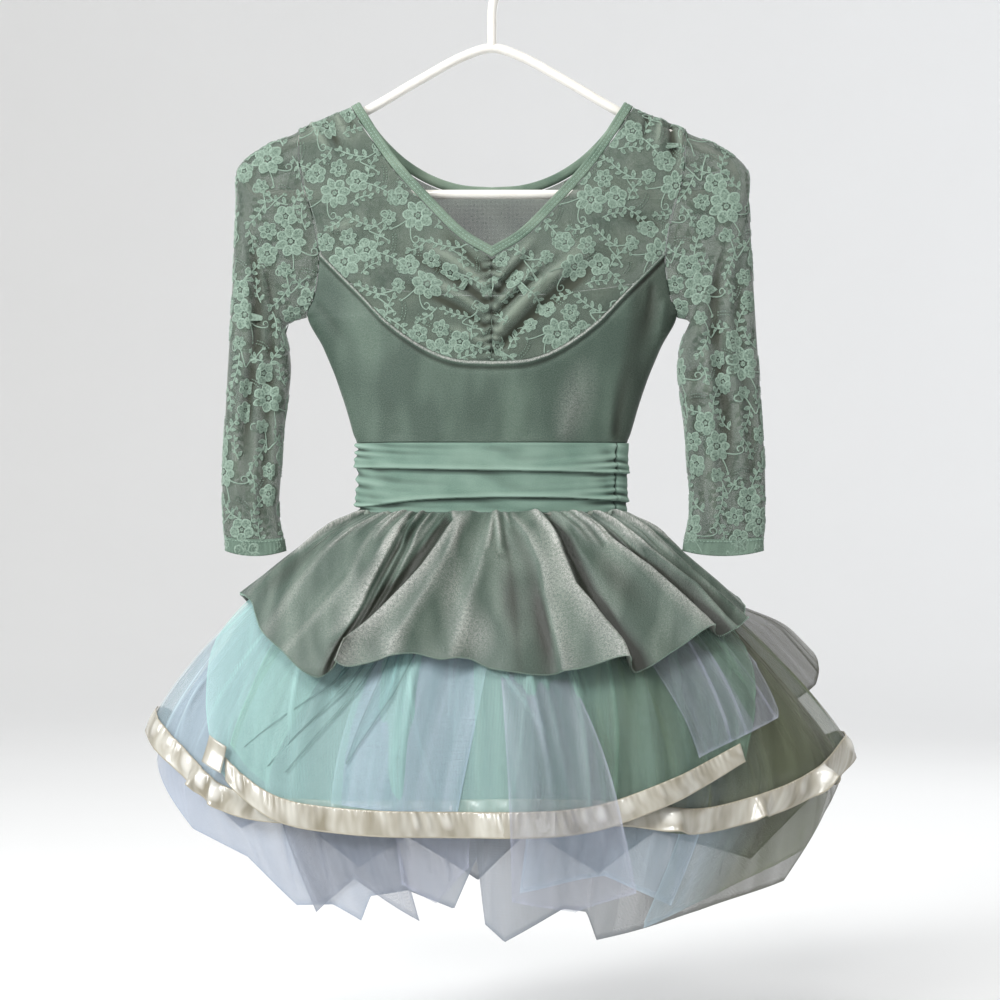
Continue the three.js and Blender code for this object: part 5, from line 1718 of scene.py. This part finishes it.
def tulle_sheet(name, material, side, layer, left, right, hem, nodes=(), seed=1, count=30,
                columns=260, rows=64, lift=0.0, wave=1.0, lift_z=(590, 680)):
    """A tulle sheet. left, right and hem are functions: the edge angles by height, and the
    hem's height by angle share. layer and lift give how far out it hangs."""
    share, down = np.meshgrid(np.linspace(-1, 1, columns), np.linspace(0, 1, rows))
    z = mix(SKIRT_TOP, hem(share), down)
    middle, reach = (left(z) + right(z)) / 2, (right(z) - left(z)) / 2
    angle = middle + reach * share
    high, dense = tulle_creases(angle, z, seed, count, (-88, 88))
    high = high * (0.15 + 0.85 * smooth(z - z[-1], 8, 50)) * smooth(-z, 530, 620)
    own_wave = 2.0 * from_waist(z) * np.sin(angle / 6.5 + seed) * wave
    edge = np.maximum(bump((share + 1) * reach, 0.3), bump((share - 1) * reach, 0.3))
    out = layer_out(layer, z) + ruffle(angle, z) * wave + high * from_waist(z) ** 0.4 + own_wave
    out = out + lift * (smooth(-z, *lift_z) if lift > 0 else from_waist(z))
    points = skirt_at(angle, z, side, out)
    hem_line = bump((1 - down) * (z[0] - z[-1]), 1.6)
    fields = {"crease": np.clip(dense + 0.5 * edge + 0.45 * hem_line, 0, 0.9), "across": share,
              "rim": edge}
    piece = sheet(name, points, material, side, fields=fields)
    hand_in(piece, nodes, cut_of(points))
    return piece, points


def constant(value):
    return lambda z: np.full(np.shape(z), float(value))


def edge_line(*rows):
    ordered = sorted(rows)
    return lambda z: np.interp(z, [row[0] for row in ordered], [row[1] for row in ordered])


TOP_EDGE = table("z angle", (-825, 47), (-735, 47), (-684, 49), (-640, 58), (-580, 72),
                 (-520, 77), (-484.8, 78))
TOP_HEM = table("side z", (-1, -686), (-0.75, -722), (-0.55, -732), (0, -735), (0.4, -732),
                (0.66, -716), (1, -684))
LOW_HEM = table("side z", (-1, -668), (-0.87, -694), (-0.7, -722), (-0.5, -728), (0, -726),
                (0.35, -728), (0.55, -735), (0.75, -724), (0.9, -706), (1, -688))
top_edge = curve_of(TOP_EDGE, "z", "angle")
top_hem = curve_of(TOP_HEM, "side", "z")
low_hem_by_side = curve_of(LOW_HEM, "side", "z")


def low_hem(share):
    return low_hem_by_side(np.sin(np.radians(90 * share)))


def front_points_hem(rows):
    by_side = lines_of(rows, "side", "z")
    return lambda share: by_side(np.sin(np.radians(90 * share)))


FRONT_POINTS = table(
    "side z",
    (-1, -684), (-0.86, -740), (-0.7, -758), (-0.58, -795), (-0.47, -793), (-0.39, -805),
    (-0.35, -784), (-0.24, -778), (-0.11, -794), (-0.04, -752), (-0.02, -806), (0.04, -820),
    (0.21, -794), (0.28, -797), (0.32, -820), (0.62, -801), (0.85, -782), (0.93, -730), (1, -700),
)
BACK_POINTS = table(
    "side z",
    (-1, -684), (-0.8, -762), (-0.66, -748), (-0.45, -802), (-0.28, -776), (-0.05, -815),
    (0.12, -772), (0.36, -808), (0.52, -770), (0.82, -788), (1, -700),
)

tiers = {}
for word, side, points_table in (("front", FRONT, FRONT_POINTS), ("back", BACK, BACK_POINTS)):
    front = side == FRONT
    tulle_sheet(f"under_tulle_{word}_net", UNDER_TULLE, side, 0, constant(-90), constant(90),
                front_points_hem(points_table), [f"under_tulle_{word}"],
                seed=31 + side, count=60, lift=-6.5, wave=0.35, columns=420)
    tiers[f"low_{word}"] = tulle_sheet(
        f"tulle_low_{word}_net", SAGE if front else GREY, side, 1, constant(-90), constant(90),
        low_hem, [f"tulle_low_{word}"], seed=41 + side, count=46, columns=400)[1]
    tiers[f"top_{word}"] = tulle_sheet(
        f"tulle_top_{word}_net", TOP_TULLE if front else ICE, side, 2.7, lambda z: -top_edge(z),
        lambda z: 0.87 * top_edge(z), top_hem, [f"tulle_top_{word}"], seed=51 + side,
        count=40, columns=340)[1]

# %% [markdown]
# Loose tulle panels
#
# Between the tiers lie narrower panels with raw straight edges, in ice blue and lavender. Each is
# given by its two edges, as angles at a few heights, and by its lower corners.

# %% Panels that overlap the tiers
def corner_hem(left, middle, right):
    return lambda share: np.interp(share, (-1, 0, 1), (left, middle, right))


PANELS = (
    # name, colour, side, layer, lift, left edge, right edge, hem heights, seed
    ("panel_mint_left", MINT, FRONT, 2.4, 0.5, [(-485, -52), (-586, -48.7), (-633, -46), (-690, -45)],
     [(-485, -34), (-610, -31.5), (-690, -36)], (-672, -688, -700), 60),
    ("panel_blue_left", ICE, FRONT, 2.5, 0.5, [(-485, -20), (-607, -23.4), (-715, -25)],
     [(-485, -2), (-607, -0.8), (-715, -5)], (-712, -718, -719), 61),
    ("panel_tuck_left", FOLDED, FRONT, 2.9, 1.0,
     [(-485, -28), (-600, -26.4), (-622, -28.6), (-674, -41.9)],
     [(-485, -17), (-600, -25.4), (-622, -27.8), (-674, -41.5)], (-674, -674, -674), 62),
    ("panel_tuck_green", FOLDED, FRONT, 2.9, 1.0,
     [(-485, -24), (-600, -23.6), (-622, -25.6), (-687, -36.4)],
     [(-485, -13), (-600, -22.8), (-622, -24.9), (-687, -36.0)], (-687, -687, -687), 74),
    ("panel_tuck_low", FOLDED, FRONT, 2.9, 1.0,
     [(-485, -20), (-600, -21.4), (-629, -23.9), (-691, -32.9)],
     [(-485, -9), (-600, -20.6), (-629, -23.2), (-691, -32.5)], (-691, -691, -691), 75),
    ("panel_tuck_middle", FOLDED, FRONT, 2.9, 1.0, [(-485, -14), (-628, -20.2), (-683, -22.8)],
     [(-485, -6), (-634, -16.4), (-683, -22.4)], (-682, -684, -683), 73),
    ("panel_lavender_over", THIN_LAVENDER, FRONT, 2.0, 14.0, [(-485, 4), (-610, 1.6), (-780, 3.2)],
     [(-485, 12), (-613, 14.1), (-728, 19.6), (-780, 23)], (-776, -786, -772), 63),
    ("panel_lavender_right", THIN_LAVENDER, FRONT, 2.5, 1.0,
     [(-485, 26), (-590, 30), (-650, 33), (-700, 34)],
     [(-485, 60), (-600, 60), (-650, 55), (-690, 44)], (-680, -668, -655), 64),
    ("panel_lavender_low", DENSE_LAVENDER, FRONT, 0.4, -2.0, [(-485, -40), (-700, -36), (-800, -31)],
     [(-485, -18), (-700, -16), (-800, -12)], (-798, -770, -800), 65),
    ("panel_mint_low", THIN_LAVENDER, FRONT, 0.5, -1.0, [(-485, -14), (-700, -15), (-800, -14)],
     [(-485, 2), (-700, -3), (-800, -4)], (-770, -786, -758), 66),
    ("panel_sage_right", SAGE, FRONT, 0.6, -1.0, [(-485, 34), (-700, 32), (-800, 26)],
     [(-485, 70), (-700, 66), (-800, 52)], (-806, -786, -752), 67),
    ("panel_ice_low_right", ICE, FRONT, 0.7, -1.0, [(-485, 8), (-700, 6), (-800, 4)],
     [(-485, 40), (-700, 36), (-800, 30)], (-776, -766, -790), 71),
    ("panel_sage_wing", SHADED_SAGE, BACK, 2.4, 19.0, [(-485, 50), (-560, 52), (-640, 56), (-700, 60)],
     [(-485, 84), (-560, 86), (-640, 88), (-700, 86)], (-668, -650, -622), 72),
    ("panel_blue_back", ICE, BACK, 1.7, 1.0, [(-485, -30), (-600, -28), (-720, -30)],
     [(-485, 8), (-600, 6), (-720, 8)], (-716, -724, -716), 68),
    ("panel_sage_back", SAGE, BACK, 1.9, 1.5, [(-485, 20), (-600, 22), (-720, 20)],
     [(-485, 62), (-600, 60), (-720, 60)], (-720, -716, -690), 69),
    ("panel_lavender_back", THIN_LAVENDER, BACK, 2.0, 14.0, [(-485, -14), (-640, -18), (-790, -22)],
     [(-485, 2), (-640, 4), (-790, 2)], (-782, -770, -788), 70),
)
for name, material, side, layer, lift, left, right, corners, seed in PANELS:
    widest = max(b[1] - a[1] for a, b in zip(left, right))
    tulle_sheet(name, material, side, layer, edge_line(*left), edge_line(*right),
                corner_hem(*corners), seed=seed, count=26,
                columns=int(np.clip(4 * widest, 12, 110)), rows=54, lift=lift,
                wave=0.8, lift_z=(556, 606) if "wing" in name else (590, 680))

# %% [markdown]
# Satin ribbon
#
# Ribbon 20 mm wide is sewn along its upper edge to each tier's hem, so it puckers there and hangs
# free below. The puckers stand out as small uneven pillows between the stitches, and they catch
# the light, with a painted highlight on each as well.

# %% Sew ribbon to the hems
RIBBON_WIDTH = 20


RIBBON_ROWS, RIBBON_COLUMNS = 15, 420


def ribbon_strip(name, tier, side, node, start=0.0, end=1.0, lift=2.0, seed=5, square=0.0,
                 bends=()):
    """A ribbon over the lowest stretch of a tier's grid, from share start to end of its width.
    square is how much shorter its upper edge is at the right end. bends are places where it turns
    up off the tulle: share of the width, how wide, degrees."""
    normals = grid_normals(tier)
    middle = tier.mean(axis=(0, 1))
    normals = normals * np.sign(((tier - middle) * normals).sum(-1, keepdims=True))
    depth = np.linalg.norm(np.diff(tier, axis=0), axis=-1)[::-1].cumsum(axis=0)
    last = tier.shape[1] - 1
    tier_share = np.linspace(0, 1, last + 1)
    bent = sum((np.radians(degrees) * bump(tier_share - place, wide) for place, wide, degrees in bends),
               np.zeros(last + 1))
    rows = []
    for share in np.linspace(0, 1, RIBBON_ROWS):
        right = end - square * (1 - share)
        columns = np.linspace(start * last, right * last, RIBBON_COLUMNS)
        left = np.clip(columns.astype(int), 0, last - 1)
        part = (columns - left)[:, None]
        turned = np.interp(columns, np.arange(last + 1), bent)
        line, out = np.zeros((last + 1, 3)), np.zeros((last + 1, 3))
        for k in range(last + 1):
            from_hem = np.concatenate([[0], depth[:, k]])
            height = RIBBON_WIDTH * (1 - share * math.cos(bent[k]))
            for axis in range(3):
                line[k, axis] = np.interp(height, from_hem, tier[::-1, k, axis])
                out[k, axis] = np.interp(height, from_hem, normals[::-1, k, axis])
        place = line[left] * (1 - part) + line[left + 1] * part
        outward = unit(out[left] * (1 - part) + out[left + 1] * part)
        raised = (RIBBON_WIDTH * share * np.sin(turned))[:, None]
        rows.append((place + outward * raised, outward, share))
    distance = np.concatenate([[0], np.linalg.norm(np.diff(rows[0][0], axis=0), axis=1).cumsum()])
    dice = np.random.default_rng(seed)
    pucker = np.zeros(len(distance))
    stop = 0.0
    while stop < distance[-1]:
        pitch = dice.uniform(5, 30)
        inside = (distance >= stop) & (distance < stop + pitch)
        high = dice.uniform(0.05, 1.0) ** 1.4 * min(1, 0.35 + pitch / 26)
        pucker[inside] = high * np.sin(np.pi * (distance[inside] - stop) / pitch) ** 2
        stop += pitch
    grid = []
    for place, outward, share in rows:
        pillow = 3.6 * pucker * np.sin(np.pi * min(1, share * 1.1 + 0.08)) ** 0.9 * (1 - 0.5 * share)
        swing = 0.8 * share * np.sin(distance / 31 + seed) + 0.7 * share
        swing = swing + 0.9 * np.sin(distance / 9.0 + 2 * np.sin(distance / 37)) * share
        swing = swing + 0.35 * np.sin(distance / 0.9 + 3 * np.sin(distance / 11)) * (1 - share) ** 2
        grid.append(place + outward * (lift + pillow + swing)[:, None])
    grid = np.array(grid)
    across_it = np.linspace(0, 1, RIBBON_ROWS)[:, None]
    # shine is a painted highlight on each pucker, given to the satin as the attribute pucker.
    shine = pucker * np.sin(np.pi * np.minimum(1, across_it * 1.1 + 0.08)) ** 0.9
    edge = np.abs(np.linspace(-1, 1, RIBBON_ROWS))[:, None] * np.ones(RIBBON_COLUMNS)
    piece = sheet(name, grid, SATIN, side, fields={"edge": edge, "pucker": shine}, thick=0.5)
    hand_in(piece, [node] if node else (), cut_of(grid))
    stitched = stitch_row(name + " stitches", grid[0] - [0, 0, 0.9], rows[0][1], 3.4, 2.2,
                          CREAM_THREAD, seed=seed)
    hand_in(joined(name + "_stitches", [stitched], CREAM_THREAD))
    return grid


LOW_BENDS = ((0.2, 0.008, 30), (0.235, 0.007, 20), (0.66, 0.01, 26), (0.752, 0.008, 34),
             (0.842, 0.011, 60))
for word, side in (("front", FRONT), ("back", BACK)):
    ribbon_strip(f"ribbon_top_{word}_satin", tiers[f"top_{word}"], side, f"ribbon_top_{word}",
                 start=0.04 if side == FRONT else 0, seed=71 + side, square=0.02)
    ribbon_strip(f"ribbon_low_{word}_satin", tiers[f"low_{word}"], side, f"ribbon_low_{word}",
                 seed=75 + side, bends=LOW_BENDS)
# The top ribbon's left end is turned back on itself, and its two ends overlap near the centre
end_angle, end_down = np.meshgrid(np.linspace(-49.8, -45.0, 14), np.linspace(0, 1, 14))
end_z = -671 - 19 * end_down - 1.6 * (end_angle + 47.4)
curl = 2.4 * np.abs(end_down - 0.4) ** 1.5 + 1.2 * np.sin((end_angle + 49.8) / 4.8 * np.pi)
end_points = skirt_at(end_angle, end_z, FRONT, layer_out(2.7, end_z) + 6.5 + 1.3 * curl)
turned_end = sheet("ribbon_turned_end", end_points, SATIN, FRONT, thick=0.5)
hand_in(turned_end, cut=cut_of(end_points))
ribbon_strip("ribbon_overlap", tiers["top_front"], FRONT, None, 0.548, 0.64, lift=3.2, seed=79)

# %% [markdown]
# The hanger
#
# A common white tube hanger. It is a round tube swept along the same points as the solid, with a
# bar below and a hook that rises from the middle.

# %% Sweep the hanger's tube
TUBE_RADIUS = 4
BAR_Z, BAR_HALF = -217, 186
HOOK_RADIUS = 20
ARM_BELOW = 9


def spline(points, count):
    """A smooth centripetal curve through points, as in the solid."""
    points = np.array(points, float)
    ends = [2 * points[0] - points[1], *points, 2 * points[-1] - points[-2]]
    knots = [0.0]
    for a, b in zip(ends[:-1], ends[1:]):
        knots.append(knots[-1] + math.sqrt(np.linalg.norm(b - a)))
    result = []
    for t in np.linspace(knots[1], knots[-2], count):
        i = min(max(1, np.searchsorted(knots, t, side="right") - 1), len(ends) - 3)
        p, k = ends[i - 1:i + 3], knots[i - 1:i + 3]
        a = [((k[j + 1] - t) * p[j] + (t - k[j]) * p[j + 1]) / (k[j + 1] - k[j]) for j in range(3)]
        b = [((k[j + 2] - t) * a[j] + (t - k[j]) * a[j + 1]) / (k[j + 2] - k[j]) for j in range(2)]
        result.append(((k[2] - t) * b[0] + (t - k[1]) * b[1]) / (k[2] - k[1]))
    return np.array(result)


def tube_mesh(name, path, radius, sides=24):
    """A closed round tube along a path in the X-Z plane, with rounded ends."""
    along = unit(np.gradient(path, axis=0))
    across = np.stack([along[:, 2], np.zeros(len(path)), -along[:, 0]], axis=1)
    angle = np.linspace(0, 2 * np.pi, sides, endpoint=False)
    rings = []
    caps = ((1.0, 0.02), (0.8, 0.6), (0.4, 0.92))
    for past, size in caps:
        rings.append((path[0] - along[0] * radius * 0.5 * past, across[0], radius * size))
    for place, side in zip(path, across):
        rings.append((place, side, radius))
    for past, size in caps[::-1]:
        rings.append((path[-1] + along[-1] * radius * 0.5 * past, across[-1], radius * size))
    up = np.array([0.0, 1.0, 0.0])
    points = np.array([place + size * (np.cos(angle)[:, None] * side + np.sin(angle)[:, None] * up)
                       for place, side, size in rings])
    count = len(rings)
    index = np.arange(count * sides).reshape(count, sides)
    following = np.roll(index, -1, axis=1)
    quads = np.stack([index[:-1], index[1:], following[1:], following[:-1]], -1).reshape(-1, 4)
    mesh = bpy.data.meshes.new(name)
    faces = quads.tolist() + [index[0].tolist(), index[-1][::-1].tolist()]
    mesh.from_pydata((points.reshape(-1, 3) * MM).tolist(), [], faces)
    return mesh


right_arm = [(0, 0, -94), (24, 0, -101), (60, 0, -120.5), (NECK_X, 0, NECK_Z - ARM_BELOW),
             (SHOULDER_X, 0, SHOULDER_Z - ARM_BELOW), (185, 0, -182), (200, 0, -193.5),
             (204, 0, -204), (198, 0, -214.5), (BAR_HALF, 0, BAR_Z), (BAR_HALF - 12, 0, BAR_Z)]
left_arm = [(-x, y, z) for x, y, z in right_arm[1:]][::-1]
loop_angles = np.radians(np.linspace(-35, 205, 11))
hook_centre = TUBE_RADIUS - HOOK_RADIUS
loop = [(HOOK_RADIUS * math.cos(a), 0, hook_centre + HOOK_RADIUS * math.sin(a)) for a in loop_angles]
tubes = [
    tube_mesh("arms", spline(left_arm + right_arm, 190), TUBE_RADIUS),
    tube_mesh("bar", spline([(-BAR_HALF + 6, 0, BAR_Z), (0, 0, BAR_Z), (BAR_HALF - 6, 0, BAR_Z)], 12),
              TUBE_RADIUS),
    tube_mesh("hook", spline([(0, 0, -94), (0, 0, -74), (1, 0, -56), (8, 0, -40)] + loop, 120),
              TUBE_RADIUS * 0.98),
]
hanger = joined("hanger_tube", tubes, PLASTIC)
weld(hanger)
hand_in(hanger, ["hanger"])

# %% [markdown]
# Stage, light and camera
#
# The dress hangs above a plain pale floor that curves up far behind it into a low wall. The light
# is a large soft lamp from the left, like a window, a weak one overhead, and a low one behind that
# shows how sheer the tulle is. The room is brighter on the window's side and dim and warm on the
# right. The camera looks straight at the front, as the photograph does.

# %% Floor, lamps and camera
FLOOR_Z = -0.96
SWEEP = 2.0
FLOOR_REACH, RIM_Z = 3.2, 1.2
turn = np.linspace(0, np.pi / 2, 14)
profile = [(0.0, FLOOR_Z), (1.6, FLOOR_Z), (FLOOR_REACH, FLOOR_Z)]
profile += [(FLOOR_REACH + SWEEP * math.sin(a), FLOOR_Z + SWEEP * (1 - math.cos(a))) for a in turn[1:]]
profile += [(FLOOR_REACH + SWEEP, RIM_Z)]
around = np.linspace(0, 2 * np.pi, 96, endpoint=False)
cove = np.array([[(r * math.sin(a), -r * math.cos(a), z) for a in around] for r, z in profile[::-1]])
paper = Nodes("pale floor")
paper.set(Roughness=0.9, Specular_IOR_Level=0.1)
paper_tone = paper.noise(3, 2, at=paper.add("ShaderNodeTexCoord").outputs["Object"])
paper.into("Base Color", paper.blend(paper_tone, (0.9, 0.9, 0.9, 1), (0.92, 0.92, 0.92, 1)))
floor = sheet("floor", cove / MM, paper.material, BACK, ring=True)
weld(floor, recalculate=False)


def studio_world():
    """A white studio. Its window side, to the left, is brighter, and the right is dim and warm."""
    world = bpy.data.worlds.new("studio")
    bpy.context.scene.world = world
    world.use_nodes = True
    nodes, links = world.node_tree.nodes, world.node_tree.links
    direction = nodes.new("ShaderNodeTexCoord")
    parts = nodes.new("ShaderNodeSeparateXYZ")
    links.new(direction.outputs["Generated"], parts.inputs["Vector"])
    tones = nodes.new("ShaderNodeValToRGB")
    ramp = tones.color_ramp
    ramp.elements[0].position, ramp.elements[0].color = 0.0, (1.02, 1.08, 1.16, 1)
    ramp.elements[1].position, ramp.elements[1].color = 1.0, (0.2, 0.18, 0.15, 1)
    for position, colour in ((0.34, (0.95, 0.97, 1.0)), (0.55, (0.9, 0.9, 0.9)),
                             (0.74, (0.36, 0.34, 0.29))):
        ramp.elements.new(position).color = (*colour, 1)
    across = nodes.new("ShaderNodeMapRange")
    across.inputs["From Min"].default_value = -1
    links.new(parts.outputs["X"], across.inputs["Value"])
    links.new(across.outputs["Result"], tones.inputs["Fac"])
    links.new(tones.outputs["Color"], nodes["Background"].inputs["Color"])


studio_world()
bpy.context.scene.view_settings.view_transform = "Standard"


def lamp(name, place, target, size, power, colour):
    light = bpy.data.lights.new(name, "AREA")
    light.shape, light.size, light.size_y = "RECTANGLE", size[0], size[1]
    light.energy, light.color = power, colour
    holder = bpy.data.objects.new(name, light)
    holder.location = place
    holder.rotation_euler = (Vector(target) - Vector(place)).to_track_quat("-Z", "Y").to_euler()
    bpy.context.scene.collection.objects.link(holder)


MIDDLE = (0, 0, -0.45)
lamp("window", (-1.5, -1.3, 0.55), MIDDLE, (0.5, 0.8), 42, (0.99, 1.0, 1.0))
lamp("overhead", (-0.25, -0.95, 0.95), MIDDLE, (0.5, 0.3), 13, (1.0, 0.98, 0.95))
lamp("behind", (0.8, 1.9, 0.5), MIDDLE, (1.4, 1.0), 6, (0.97, 0.99, 1.0))

CAMERA_DISTANCE = 1.8
VIEW_HEIGHT = 0.84
camera_data = bpy.data.cameras.new("camera")
camera_data.sensor_width = 36
camera_data.lens = 36 * CAMERA_DISTANCE / VIEW_HEIGHT
camera = bpy.data.objects.new("camera", camera_data)
camera.location = (0.0067, -CAMERA_DISTANCE, -0.4736)
camera.rotation_euler = (math.pi / 2, 0, 0)
bpy.context.scene.collection.objects.link(camera)
bpy.context.scene.camera = camera
bpy.context.scene.cycles.transparent_max_bounces = 32

# %% [markdown]
# Clear the copies' sources
#
# The objects that were only copied from are removed.

# %% Clear the copies' sources
for source in [STITCH_COPY, *MOTIFS.values()]:
    bpy.data.objects.remove(source)
